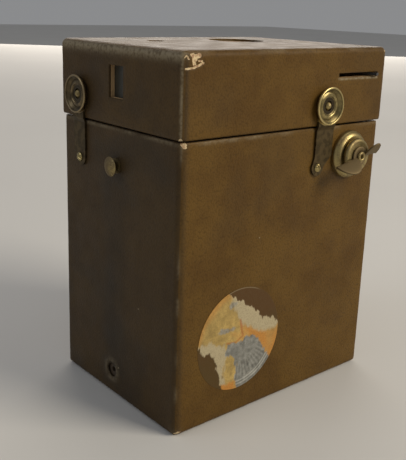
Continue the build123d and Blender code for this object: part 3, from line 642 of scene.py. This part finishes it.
def case_leather_sheet():
    """The sides and the back of the case, with the holes for the key, the strap and the window."""
    low = np.array([-case_high[0], -case_high[1], back_low[2]])
    high = np.array([case_high[0], case_high[1], seam_z])
    key, window = middle("key_bush"), middle("red_window_eyelet")
    key_radius = (span("key_bush")[1] - span("key_bush")[0])[0] / 2 + rim_gap
    window_radius = (span("red_window_eyelet")[1] - span("red_window_eyelet")[0])[0] / 2 + rim_gap
    key_half, window_half = square_share * key_radius, square_share * window_radius
    strap_half = square_share * strap_hole_radius
    marks_x = [mark(key[0], key_half), mark(window[0], window_half)]
    marks_y = [mark(strap_hole[0], strap_half), mark(window[1], window_half)]
    marks_z = [mark(key[2], key_half), mark(strap_hole[1], strap_half)]
    lines = [
        grid_lines(low[0], high[0], case_edges[0], case_edges[0], marks_x),
        grid_lines(low[1], high[1], case_edges[1], case_edges[1], marks_y),
        grid_lines(low[2], high[2], case_edges[2], 0.0, marks_z),
    ]
    sheet = box_sheet(lines, [(0, -1), (0, 1), (1, -1), (1, 1), (2, -1)])
    sheet = cut_hole(*sheet, 1, low[1], key[[2, 0]], key_half, key_radius)
    sheet = cut_hole(*sheet, 2, low[2], window[[0, 1]], window_half, window_radius)
    sheet = cut_hole(*sheet, 0, low[0], strap_hole, strap_half, strap_hole_radius)
    return sheet, (low, high)


def front_leather_sheet():
    """The sides and the top of the front section, with its four openings."""
    low, high = front_low, front_high
    window = middle("finder_screen")[1:]
    window_half = (span("finder_screen")[1] - span("finder_screen")[0])[1:] / 2
    slit = np.array([middle("shutter_blade")[2], slit_middle_x])
    rounds = ((middle("lens_cell")[:2], lens_opening), (middle("finder_lens")[:2], finder_opening))
    marks_x, marks_y = ([mark(centre[axis], square_share * radius) for centre, radius in rounds] for axis in (0, 1))
    marks_x += [mark(slit[1], slit_half[1]), (low[0] + front_edges[0], low[0] + 7.6 * MM, chip_step)]
    marks_y += [mark(window[0], window_half[0])]
    marks_z = [mark(slit[0], slit_half[0]), mark(window[1], window_half[1])]
    marks_z += [(high[2] - 5.6 * MM, high[2] - front_edges[2], chip_step)]
    lines = [
        grid_lines(low[0], high[0], front_edges[0], front_edges[0], marks_x),
        grid_lines(low[1], high[1], front_edges[1], front_edges[1], marks_y),
        grid_lines(low[2], high[2], 0.0, front_edges[2], marks_z),
    ]
    sheet = box_sheet(lines, [(0, -1), (0, 1), (1, -1), (1, 1), (2, 1)])
    for centre, radius in rounds:
        sheet = cut_hole(*sheet, 2, high[2], centre, square_share * radius, radius)
    sheet = cut_hole(*sheet, 0, low[0], window, window_half)
    sheet = cut_hole(*sheet, 1, low[1], slit, slit_half)
    return sheet, (low, high)


def hump(values, middle_at, reach, power=2):
    """1 where the values are at the middle, falling to nothing beyond the reach."""
    return np.exp(-(((values - middle_at) / reach) ** power))


def case_wear_and_shade(points, low, high):
    """Worn and darkened places of the case: the strap hole's lip, the rubbed seam, grime, and painted shade over the
    narrow side and beside its edge.
    """
    stud = middle("strap_stud")
    on_narrow_side = points[:, 0] < low[0] + 1e-6
    from_hole = np.linalg.norm(points[:, 1:] - strap_hole, axis=1)
    lip = on_narrow_side * hump(from_hole, 2.9 * MM, 0.75 * MM)
    between = smooth_step(strap_hole[1] - 3 * MM, strap_hole[1] + 4 * MM, points[:, 2])
    between *= 1 - smooth_step(stud[2] - 4 * MM, stud[2], points[:, 2])
    band = on_narrow_side * between * hump(points[:, 1], 1 * MM, 5.5 * MM, 4)
    under_seam = hump(high[2] - points[:, 2], 0.5 * MM, 0.45 * MM)
    under_seam *= smooth_step(-0.6, 0.4, value_noise(points, 4 * MM, 94))
    dirt_and_painted_shade = 0.15 * smooth_step(0.2, 0.9, layered_noise(points, 16 * MM, 91))
    # Painted shade: the whole narrow side is darkened and greyed; the strap's band is grime.
    dirt_and_painted_shade += 0.55 * on_narrow_side + 0.15 * band
    # Painted shade: a dark line on the other sides just beside the near edge.
    dirt_and_painted_shade += 0.35 * (1 - on_narrow_side) * hump(points[:, 0] - low[0], 1.2 * MM, MM)
    return 0.3 * MM * lip, np.maximum(0.35 * lip, 0.5 * under_seam), np.clip(dirt_and_painted_shade, 0, 1)


def case_tears(low, high):
    """Torn corners of the case: the near one at the foot, the one under the seam, and two others."""
    return [
        (low + (0.2 * MM, 0, 0.2 * MM), low + (1.5 * MM, 0, 0.7 * MM), 0.9 * MM),
        (low, low + (0, 0.8 * MM, 0), 0.8 * MM),
        ((low[0], low[1], high[2]), (low[0] + 1.2 * MM, low[1], high[2] - 0.7 * MM), 0.7 * MM),
        ((high[0], low[1], low[2]), (high[0] - 0.6 * MM, low[1], low[2]), 0.8 * MM),
        ((low[0], high[1], low[2]), (low[0], high[1], low[2] + 0.6 * MM), 0.8 * MM),
    ]


def front_wear_and_shade(points, low, high):
    """Worn places of the front section: under the slit, along the near edge, and the edge round the lens face; also
    grime, and painted shade over the narrow side and beside its edge.
    """
    on_wide_side = points[:, 1] < low[1] + 1e-6
    on_narrow_side = points[:, 0] < low[0] + 1e-6
    under_slit = on_wide_side * (points[:, 0] > 17 * MM) * (points[:, 0] < 34.8 * MM)
    under_slit = under_slit * hump(points[:, 2], middle("shutter_blade")[2] - 0.95 * MM, 0.3 * MM)
    line = on_narrow_side * hump(points[:, 1] - low[1], 0.5 * MM, 0.5 * MM)
    line *= smooth_step(0.5 * MM, 4 * MM, high[2] - points[:, 2])
    end_edge = on_narrow_side * hump(high[2] - points[:, 2], 1.2 * MM, 1.4 * MM)
    # Grime here and there, and painted shade that darkens and greys the whole narrow side.
    dirt_and_painted_shade = 0.15 * smooth_step(0.2, 0.9, layered_noise(points, 16 * MM, 92)) + 0.45 * on_narrow_side
    # Painted shade: a dark line on the wide side just beside the near edge.
    dirt_and_painted_shade += 0.5 * on_wide_side * hump(points[:, 0] - low[0], 1.3 * MM, 0.8 * MM)
    rub = np.maximum(np.maximum(0.95 * under_slit, 0.75 * line), 0.95 * end_edge)
    return np.zeros(len(points)), rub, np.clip(dirt_and_painted_shade, 0, 1)


def front_tears(low, high):
    """Torn places of the front section: the chip on the wide side's near corner, and two corners."""
    corner = np.array([low[0], low[1], high[2]])

    def stroke(x, drop, x_end, drop_end, half_width):
        """A tear on the wide side, placed from the near corner: across and down, in mm."""
        start = corner + np.array([x, 0, -drop]) * MM
        return start, corner + np.array([x_end, 0, -drop_end]) * MM, half_width * MM

    return [
        stroke(3.0, 0.9, 3.8, 1.9, 0.70),
        stroke(3.8, 1.5, 5.2, 1.0, 0.62),
        stroke(3.4, 2.0, 3.5, 3.0, 0.55),
        stroke(0.4, 1.7, 1.2, 0.9, 0.22),
        stroke(1.3, 1.1, 1.8, 2.1, 0.20),
        stroke(0.8, 4.3, 3.4, 4.1, 0.24),
        stroke(3.4, 4.1, 6.3, 3.0, 0.28),
        stroke(4.9, 2.5, 5.9, 2.5, 0.22),
        ((low[0], low[1], low[2]), (low[0], low[1] + 0.6 * MM, low[2]), 0.6 * MM),
        ((high[0], low[1], high[2]), (high[0] - 0.8 * MM, low[1], high[2] - 0.8 * MM), 0.7 * MM),
    ]


class BOXCAMERA_OT_leather(bpy.types.Operator):
    """Covers the case and the front section with worn, pebbled leather"""

    bl_idname = "box_camera.leather"
    bl_label = "Leather covering"

    def execute(self, context):
        material = leather_material(context.scene.box_camera_leather)
        sheet, box = case_leather_sheet()
        place = ("case", ("case_leather", "back_leather"))
        args = (sheet, box, case_edges, True, case_tears(*box), *place, material, 5, case_wear_and_shade)
        add_leather("case_leather_cover", *args)
        sheet, box = front_leather_sheet()
        place = ("front_section", ("front_leather",))
        args = (sheet, box, front_edges, False, front_tears(*box), *place, material, 7, front_wear_and_shade)
        add_leather("front_leather_cover", *args)
        return {"FINISHED"}


# ---- label ----
def depth_inside(u, v, corners):
    """How far each point lies inside a closed outline, and below zero how far outside."""
    far = np.full(u.shape, np.inf)
    crossings = np.zeros(u.shape, int)
    for (u0, v0), (u1, v1) in zip(corners, corners[1:] + corners[:1]):
        du, dv = u1 - u0, v1 - v0
        share = np.clip(((u - u0) * du + (v - v0) * dv) / (du * du + dv * dv), 0, 1)
        far = np.minimum(far, np.hypot(u - u0 - share * du, v - v0 - share * dv))
        crosses = (v0 > v) != (v1 > v)
        crossings += crosses & (u < u0 + (v - v0) * du / (dv if dv else 1.0))
    return np.where(crossings % 2, far, -far)


# Places on the label, as shares of its radius from its middle.
kept_outline = [
    (-1.3, 1.1), (-0.42, 1.02), (-0.28, 0.92), (0.19, 0.62), (0.40, 0.50), (0.55, 0.31), (0.80, 0.22), (1.1, 0.02),
    (1.2, -1.2), (-0.33, -1.2), (-0.37, -0.93), (-0.46, -0.66), (-0.57, -0.43), (-0.59, -0.20), (-0.81, -0.10),
    (-1.1, 0.14),
]
paper_band = [(-0.25, 0.92), (0.19, 0.70), (1.1, 0.15), (0.95, -0.02), (0.60, 0.0), (0.12, 0.22), (-0.08, 0.5)]
paper_foot = [
    (-1.1, 0.12), (-0.72, 0.10), (-0.36, -0.04), (-0.30, -0.22), (-0.36, -0.45), (-0.30, -0.95), (-0.5, -1.1),
    (-1.1, -0.5),
]
foil_field = [
    (0.19, 0.04), (0.48, -0.12), (0.62, -0.36), (0.82, -0.62), (0.4, -1.3), (0.03, -1.2), (-0.05, -0.8),
    (-0.09, -0.38), (-0.32, -0.24), (-0.31, -0.04), (0.07, -0.05),
]
orange_right = [(0.02, 0.30), (0.60, 0.02), (1.1, -0.05), (1.0, -0.7), (0.72, -0.62), (0.58, -0.28), (0.18, 0.05)]
orange_foot = [(-0.40, -0.84), (-0.08, -0.86), (-0.02, -1.2), (-0.5, -1.2)]
scratched_spots = [((-0.21, 0.70), (0.10, 0.09)), ((-0.32, 0.235), (0.24, 0.06)), ((-0.45, 0.25), (0.05, 0.07))]
fold_line = [(0.0, 0.37), (0.08, 0.04), (-0.09, -0.05), (-0.31, -0.02)]


def label_layers(settings, u, v):
    """The torn label at places (u, v): its colour, how much of it is foil, and its height."""
    flat = np.stack([u, v, np.zeros_like(u)], 1)
    ragged = layered_noise(flat * (1.7, 0.7, 1), 0.10, 50, 3) * 0.06
    soft = layered_noise(flat, 0.35, 60, 3)
    fine = layered_noise(flat, 0.07, 70, 2)
    out = np.hypot(u, v)

    def share_of(corners, edge):
        return smooth_step(-edge, edge, depth_inside(u, v, corners) + ragged)

    kept = share_of(kept_outline, 0.012)
    foil = share_of(foil_field, 0.02)
    for (u0, v0), (reach_u, reach_v) in scratched_spots:
        spot = 1 - np.hypot((u - u0) / reach_u, (v - v0) / reach_v)
        foil = np.maximum(foil, 0.8 * smooth_step(-0.1, 0.6, spot + 0.5 * fine))
    paint = np.array(settings.ochre) * (1 + 0.22 * soft + 0.22 * fine)[:, None]
    strokes = (
        (0.45 * smooth_step(0.1, 0.9, soft), settings.orange),
        (0.6 * smooth_step(0.80, 1.0, out + 0.1 * soft), settings.orange),
        (share_of(orange_right, 0.08) * (0.5 + 0.4 * smooth_step(-0.5, 0.5, soft)), settings.orange),
        (share_of(paper_band, 0.05), settings.paper),
        (share_of(paper_foot, 0.04), settings.paper),
        (share_of(orange_foot, 0.03), settings.orange),
    )
    for amount, colour in strokes:
        paint += np.clip(amount, 0, 1)[:, None] * (np.array(colour) - paint)
    crack = [depth_inside(u, v, [a, b]) for a, b in zip(fold_line, fold_line[1:])]
    crack = smooth_step(-0.035, -0.005, np.max(crack, axis=0) + 0.2 * ragged)
    paint += 0.6 * crack[:, None] * (np.array(settings.fold) - paint)
    ribs = 0.5 + 0.5 * np.cos(56 * np.arctan2(v, u)) * smooth_step(0.45, 0.6, out) * (out < 0.82)
    rings_light = hump(out, 0.865, 0.012) + hump(out, 0.925, 0.012)
    shade = 0.75 + 0.35 * ribs + 0.35 * fine + 0.9 * rings_light
    paint += foil[:, None] * (np.array(settings.foil) * shade[:, None] - paint)
    stain = smooth_step(-0.4, 0.6, v + 0.5 * soft)[:, None]
    bare = np.array(settings.glue_low) * (1 - stain) + np.array(settings.glue) * stain
    outline = hump(out, 0.985, 0.008) * smooth_step(0.84, 0.94, v)
    bare += 0.4 * outline[:, None] * (np.array(settings.paper) - bare)
    paint = bare + kept[:, None] * (paint - bare)
    height = (0.10 * kept - 0.04 * foil * kept + 0.012 * soft * kept + 0.01) * MM
    return paint, foil * kept, height


class BOXCAMERA_OT_label(bpy.types.Operator):
    """Lays the torn paper and foil label on the wide side"""

    bl_idname = "box_camera.label"
    bl_label = "Torn label"

    def execute(self, context):
        low, high = span("side_label")
        centre = (low + high) / 2
        radius = (high[0] - low[0]) / 2
        rings, spokes = 96, 300
        share = np.append(np.linspace(0, 0.996, rings - 1), 1)
        angle = np.linspace(0, 2 * np.pi, spokes, endpoint=False)
        u = (share[:, None] * np.cos(angle)).ravel()
        v = (share[:, None] * np.sin(angle)).ravel()
        paint, shine, height = label_layers(context.scene.box_camera_label, u, v)
        height = np.clip(height, 0.004 * MM, high[1] - low[1])
        top = np.stack([centre[0] + u * radius, np.full_like(u, high[1]) - height, centre[2] + v * radius], 1)
        rim = top[-spokes:].copy()
        rim[:, 1] = high[1] + 0.05 * MM
        under = rim * 0 + np.array([centre[0], high[1] + 0.05 * MM, centre[2]])
        points = np.concatenate([top, rim, under])
        shine, paint = (np.concatenate([row, row[-spokes:], row[-spokes:]]) for row in (shine, paint))
        faces = grid_faces(rings + 2, spokes, closed_columns=True)
        piece = add_piece("torn_label", points, faces, "case", label_material(), "label_paper", foil=shine)
        layer = piece.data.attributes.new("paint", "FLOAT_COLOR", "POINT")
        rgba = np.concatenate([np.clip(paint, 0, 1), np.ones((len(paint), 1))], 1)
        layer.data.foreach_set("color", rgba.astype(np.float32).ravel())
        close_up(piece)
        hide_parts("side_label")
        return {"FINISHED"}


def label_material():
    """Painted by the mesh, with paper fibres, and glossier on the foil."""
    made = Recipe("torn_label", Specular_IOR_Level=0.18)
    fibre = made.noise(0.4 * MM, 3.0)
    paint = made.attribute("paint", "Color")
    colour = made.mix(made.step(fibre, 0.4, 0.7, 0, 0.25), paint, (0.10, 0.07, 0.035))
    foil = made.attribute("foil")
    made.feed(made.shader.inputs["Metallic"], made.math("MULTIPLY", foil, 0.55))
    return made.finish(colour, made.step(foil, 0.0, 1.0, 0.58, 0.4), made.bump(fibre, 0.02 * MM))


# ---- screws ----
screw_radius = 1.3 * MM
screw_height = 0.7 * MM
clasp_ear = 2.35 * MM  # from the lower end of a clasp's foot to its screw


def slotted_head(radius, height, slot_share, slot_turn, steps=36):
    """A round-headed screw: points (u, v) fill a disc by chords, height falls as a dome, less the slot.

    The chord at u has half length sqrt(1 - u*u), and the slot lies between two chords.
    """
    near = np.array([-1.02, -0.98, 0.98, 1.02]) * slot_share
    u = np.unique(np.concatenate([np.sin(np.linspace(-np.pi / 2, np.pi / 2, steps)), near]))
    v = np.sin(np.linspace(-np.pi / 2, np.pi / 2, steps))
    a, b = np.meshgrid(u, v, indexing="ij")
    b = b * np.sqrt(np.clip(1 - a * a, 0, 1))
    dome = height * np.sqrt(np.clip(1 - 0.96 * (a * a + b * b), 0, 1))
    dome = np.where(np.abs(a) < slot_share, np.minimum(dome, 0.3 * height), dome)
    cos_turn, sin_turn = math.cos(slot_turn), math.sin(slot_turn)
    turned = (a * cos_turn - b * sin_turn, a * sin_turn + b * cos_turn)
    top = np.stack([turned[0].ravel() * radius, turned[1].ravel() * radius, dome.ravel()], 1)
    bottom = top * (1, 1, 0)
    count = len(top)
    faces = grid_faces(*a.shape)
    return np.concatenate([top, bottom]), np.concatenate([faces, faces[:, ::-1] + count])


class BOXCAMERA_OT_screws(bpy.types.Operator):
    """Sets the two slotted screws in the feet of the clasps"""

    bl_idname = "box_camera.screws"
    bl_label = "Slotted screws"

    def execute(self, context):
        material = brass_material("screw_brass", context.scene.box_camera_brass, 0.62, 0.24)
        side_low, end_low = span("side_clasp_foot")[0], span("end_clasp_foot")[0]
        end_y = middle("end_clasp_foot")[1]
        heads = (
            ((side_low[0] + clasp_ear, side_low[1], side_low[2] + clasp_ear), (1.0, 0, 0), (0, -1.0, 0), 0.5),
            ((end_low[0], end_y, end_low[2] + clasp_ear), (0, -1.0, 0), (-1.0, 0, 0), 1.2),
        )
        points, faces, start = [], [], 0
        for base, across, outward, turn in heads:
            head, quads = slotted_head(screw_radius, screw_height, 0.16, turn)
            points.append(base + head @ np.array([across, (0, 0, 1.0), outward]))
            faces.append(quads + start)
            start += len(head)
        points, faces = np.concatenate(points), np.concatenate(faces)
        piece = add_piece("slotted_screws", points, faces, "case", material, "screw_brass")
        close_up(piece)
        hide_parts("clasp_screws")
        return {"FINISHED"}


# ---- thumb piece of the key ----
thumb_sheet = 0.65 * MM
thumb_bore = 1.2 * MM
thumb_hub = 2.9 * MM
wing_start = 1.6 * MM
wing_height = 4.9 * MM
wing_curl = 0.3 * MM
# Each wing: its heading round the hub, how far it reaches, and how far it leans.
wings = ((math.radians(-9), 7.2 * MM, math.radians(45)), (math.pi, 10.2 * MM, math.radians(26)))


def disc_plate(inner, outer, thickness, spokes=64, steps=6):
    """A flat ring with a rounded rim: its outline is turned about the axis.

    The rim is the half circle outer - t/2 + (t/2) sin(a), t/2 - (t/2) cos(a) for a from 0 to pi.
    """
    half = thickness / 2
    a = np.linspace(0, np.pi, steps)
    radii = np.concatenate([[inner], outer - half + half * np.sin(a), [inner]])
    heights = np.concatenate([[0], half - half * np.cos(a), [thickness]])
    turn = np.linspace(0, 2 * np.pi, spokes, endpoint=False)
    x, y = radii[:, None] * np.cos(turn), radii[:, None] * np.sin(turn)
    points = np.stack([x, y, np.broadcast_to(heights[:, None], x.shape)], 2).reshape(-1, 3)
    return points, grid_faces(len(radii), spokes, closed_rows=True, closed_columns=True)


def wing_plate(start, end, height, thickness, lean, curl, stations=48, loop=20):
    """One folded wing: half an ellipse that stands on the hub, leans to one side and curls a little.

    At x its height is h = height sqrt(1 - ((x - m) / a)^2), and its section runs round a loop with
    the thickness n and the height t: n = (thickness / 2) c^0.4 and t = (h / 2)(1 + s^0.7), where c
    and s are the cosine and sine of the loop's angle with their signs kept.
    """
    station = np.linspace(0.02, np.pi - 0.02, stations)
    x = (start + end) / 2 - (end - start) / 2 * np.cos(station)
    tall = height * np.sin(station)
    angle = np.linspace(0, 2 * np.pi, loop, endpoint=False)
    c, s = np.cos(angle), np.sin(angle)
    n = thickness / 2 * np.sign(c) * np.abs(c) ** 0.4
    t = tall[:, None] / 2 * (1 + np.sign(s) * np.abs(s) ** 0.7)
    n = n + curl * (t / height) ** 2
    across = n * math.cos(lean) + t * math.sin(lean)
    up = t * math.cos(lean) - n * math.sin(lean) + thickness / 2
    points = np.stack([np.broadcast_to(x[:, None], t.shape), across, up], 2).reshape(-1, 3)
    caps = np.array([points[:loop].mean(0), points[-loop:].mean(0)])
    faces = [list(face) for face in grid_faces(stations, loop, closed_columns=True)]
    last = (stations - 1) * loop
    for j in range(loop):
        after = (j + 1) % loop
        faces += [[len(points), after, j], [len(points) + 1, last + j, last + after]]
    return np.concatenate([points, caps]), faces


class BOXCAMERA_OT_thumb_piece(bpy.types.Operator):
    """Folds the two-winged thumb piece of the winding key, as it stands on the real one"""

    bl_idname = "box_camera.thumb_piece"
    bl_label = "Thumb piece"

    def execute(self, context):
        low, high = span("key_wing")
        axis = middle("key_collar")
        turn = context.scene.box_camera_brass.key_turn
        shells = [disc_plate(thumb_bore, thumb_hub, thumb_sheet)]
        for heading, reach, lean in wings:
            wing, quads = wing_plate(wing_start, reach, wing_height, thumb_sheet, lean, wing_curl)
            c, s = math.cos(heading), math.sin(heading)
            shells.append((wing @ np.array([[c, s, 0], [-s, c, 0], [0, 0, 1]]), quads))
        points, faces, start = [], [], 0
        c, s = math.cos(turn), math.sin(turn)
        for shell, quads in shells:
            x, y, out = shell.T
            points.append(np.stack([axis[0] + c * x - s * y, high[1] - out, axis[2] + s * x + c * y], 1))
            faces += [[int(corner) + start for corner in quad] for quad in quads]
            start += len(shell)
        points = np.concatenate(points)
        points[:, 1] = np.maximum(points[:, 1], low[1])
        # The low share gives the wings far more dull tarnish than the other brass: painted shade, as on their shaded
        # undersides.
        material = brass_material("wing_brass", context.scene.box_camera_brass, 0.16, 0.42)
        piece = add_piece("folded_thumb_piece", points, faces, "winding_key", material, "aged_brass")
        close_up(piece)
        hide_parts("key_wing")
        return {"FINISHED"}


# ---- finishes on the CAD nodes ----
clasp_disc_radius = 5.35 * MM


class BOXCAMERA_OT_brass(bpy.types.Operator):
    """Gives the clasps, the key, the studs and the lens barrel their old brass"""

    bl_idname = "box_camera.brass"
    bl_label = "Brass fittings"

    def execute(self, context):
        settings = context.scene.box_camera_brass
        discs = (("side_clasp", 1, settings.clean[:]), ("end_clasp", 0, settings.tarnished[:]))
        for name, axis, disc in discs:
            spring = name + "_spring"
            centre = middle(spring)
            centre[2] = span(spring)[1][2] - clasp_disc_radius
            material = clasp_material(name + "_brass", settings, disc, centre, axis, clasp_disc_radius)
            dress(spring, material)
            dress(name + "_foot", material)
        dull = brass_material("dull_brass", settings, 0.40, 0.38)
        for node in ("strap_stud", "lens_cell", "lens_ring"):
            dress(node, dull)
        bright = brass_material("key_brass", settings, 0.52, 0.38)
        for node in ("key_flange", "key_collar", "key_bush", "key_shaft", "clasp_studs"):
            dress(node, bright)
        for node in ("shutter_pivot", "shutter_stops", "shutter_spring_post"):
            dress(node, bright)
        return {"FINISHED"}


class BOXCAMERA_OT_inside(bpy.types.Operator):
    """Gives the wood, card, tin and glass parts of the inside their finishes"""

    bl_idname = "box_camera.inside"
    bl_label = "Inside parts"

    def execute(self, context):
        raw = wood_material("raw_wood", (0.60, 0.42, 0.22), (0.36, 0.23, 0.11))
        stained = wood_material("stained_wood", (0.06, 0.038, 0.02), (0.03, 0.02, 0.012))
        black = wood_material("blackened_wood", (0.035, 0.03, 0.026), (0.012, 0.01, 0.009))
        card = card_material()
        japanned = plain_metal("japanned_metal", (0.02, 0.02, 0.02), 0.35, 0.0)
        tin = plain_metal("tinned_steel", (0.5, 0.49, 0.46), 0.35)
        clear = glass_material("lens_glass", (0.9, 0.93, 0.9), 0.02)
        # Painted shade: the ground glass is a dark, opaque sheet standing in for the dim finder behind it.
        ground = glass_material("ground_glass", (0.030, 0.029, 0.022), 0.3, 0.0)
        red = glass_material("red_glass", (0.35, 0.015, 0.01), 0.08, 0.6)
        silvered = plain_metal("silvered_glass", (0.8, 0.8, 0.78), 0.04)
        finishes = (
            (raw, ("front_case", "lens_board", "takeup_spool_core", "supply_spool_core")),
            (stained, ("rear_case", "mouth_frame")),
            (black, ("carrier_board_near", "carrier_board_far", "carrier_ties")),
            (card, ("cone",)),
            (japanned, ("film_gate", "aperture_stop", "shutter_blade", "finder_box", "red_window_eyelet")),
            (tin, ("supply_guide_roller", "takeup_guide_roller", "spool_pins", "supply_brake", "shutter_spring")),
            (tin, ("takeup_spool_flanges", "supply_spool_flanges")),
            (clear, ("lens_glass", "finder_lens")),
            (ground, ("finder_screen",)),
            (red, ("red_window",)),
            (silvered, ("finder_mirror",)),
        )
        for material, nodes in finishes:
            for node in nodes:
                dress(node, material)
        return {"FINISHED"}


# ---- stage ----
class BOXCAMERA_OT_stage(bpy.types.Operator):
    """Makes the floor, the soft lights and the camera"""

    bl_idname = "box_camera.stage"
    bl_label = "Stage"

    def execute(self, context):
        scene = context.scene
        settings = scene.box_camera_stage
        made = Recipe("pale_floor", Roughness=0.9, Specular_IOR_Level=0.1)
        cloud = made.noise(0.2, 2.0)
        pale = settings.floor[:]
        made.finish(made.mix(made.step(cloud, 0.3, 0.7), pale, tuple(0.97 * part for part in pale)))
        half = 3.0
        corners = [(-half, -half, 0), (half, -half, 0), (half, half, 0), (-half, half, 0)]
        mesh = bpy.data.meshes.new("floor")
        mesh.from_pydata(corners, [], [(0, 1, 2, 3)])
        mesh.materials.append(made.material)
        floor = bpy.data.objects.new("floor", mesh)
        scene.collection.objects.link(floor)
        lights = (
            ("key_light", (0.42, -0.75, 0.62), 0.5, 8.0, (1.0, 0.91, 0.76)),
            ("side_light", (-0.85, 0.25, 0.75), 0.6, 1.5, (0.92, 0.95, 1.0)),
            ("back_light", (0.95, 1.12, 0.60), 1.3, 11.0, (1.0, 0.92, 0.82)),
        )
        aim = Vector((0, 0, cad_high[2] / 2))
        for name, place, size, power, colour in lights:
            lamp = bpy.data.lights.new(name, "AREA")
            lamp.energy, lamp.size, lamp.color = power, size, colour
            light = bpy.data.objects.new(name, lamp)
            light.location = place
            light.rotation_euler = (aim - Vector(place)).to_track_quat("-Z", "Y").to_euler()
            light.visible_camera = False
            scene.collection.objects.link(light)
        world = bpy.data.worlds.new("pale_room")
        world.use_nodes = True
        background = world.node_tree.nodes["Background"]
        background.inputs["Color"].default_value = (0.80, 0.81, 0.83, 1.0)
        background.inputs["Strength"].default_value = 0.32
        scene.world = world
        scene.view_settings.view_transform = "Standard"
        scene.camera = self.add_camera(scene, settings)
        return {"FINISHED"}

    def add_camera(self, scene, settings):
        """A camera that looks along the heading and down by the elevation, turned by the roll."""
        heading, down = settings.azimuth, settings.elevation
        forward = Vector((math.cos(heading) * math.cos(down), math.sin(heading) * math.cos(down), -math.sin(down)))
        right = Vector((math.sin(heading), -math.cos(heading), 0))
        up = right.cross(forward)
        turned_right = right * math.cos(settings.roll) + up * math.sin(settings.roll)
        turned_up = up * math.cos(settings.roll) - right * math.sin(settings.roll)
        aim = Vector((0, 0, 50 * MM))
        place = aim - forward * settings.distance + turned_right * settings.across + turned_up * settings.rise
        lens = bpy.data.cameras.new("camera")
        lens.sensor_width = 36.0
        lens.lens = settings.lens
        lens.shift_x, lens.shift_y = settings.shift
        lens.clip_start, lens.clip_end = 0.01, 20.0
        camera = bpy.data.objects.new("camera", lens)
        axes = Matrix((turned_right, turned_up, -forward)).transposed().to_4x4()
        camera.matrix_world = Matrix.Translation(place) @ axes
        scene.collection.objects.link(camera)
        return camera


class BOXCAMERA_PT_panel(bpy.types.Panel):
    """Lists the settings and the pieces"""

    bl_idname = "BOXCAMERA_PT_panel"
    bl_label = "Box camera"
    bl_space_type = "VIEW_3D"
    bl_region_type = "UI"
    bl_category = "Box camera"

    def draw(self, context):
        for group in setting_groups:
            settings = getattr(context.scene, group)
            for label in settings.bl_rna.properties.keys():
                if label not in {"rna_type", "name"}:
                    self.layout.prop(settings, label)
        for operator in operators:
            self.layout.operator(operator.bl_idname)


setting_groups = {
    "box_camera_leather": LeatherSettings,
    "box_camera_brass": BrassSettings,
    "box_camera_label": LabelSettings,
    "box_camera_stage": StageSettings,
}
operators = (
    BOXCAMERA_OT_leather,
    BOXCAMERA_OT_label,
    BOXCAMERA_OT_screws,
    BOXCAMERA_OT_thumb_piece,
    BOXCAMERA_OT_brass,
    BOXCAMERA_OT_inside,
    BOXCAMERA_OT_stage,
)


def register():
    """Adds the settings, the operators and the panel to Blender."""
    for name, group in setting_groups.items():
        bpy.utils.register_class(group)
        setattr(bpy.types.Scene, name, bpy.props.PointerProperty(type=group))
    for kind in (*operators, BOXCAMERA_PT_panel):
        bpy.utils.register_class(kind)


def unregister():
    """Takes them away again."""
    for kind in (BOXCAMERA_PT_panel, *reversed(operators)):
        bpy.utils.unregister_class(kind)
    for name, group in setting_groups.items():
        delattr(bpy.types.Scene, name)
        bpy.utils.unregister_class(group)


def main():
    """Builds every piece and the stage."""
    register()
    for operator in operators:
        group, name = operator.bl_idname.split(".")
        getattr(getattr(bpy.ops, group), name)()


if __name__ == "__main__":
    main()
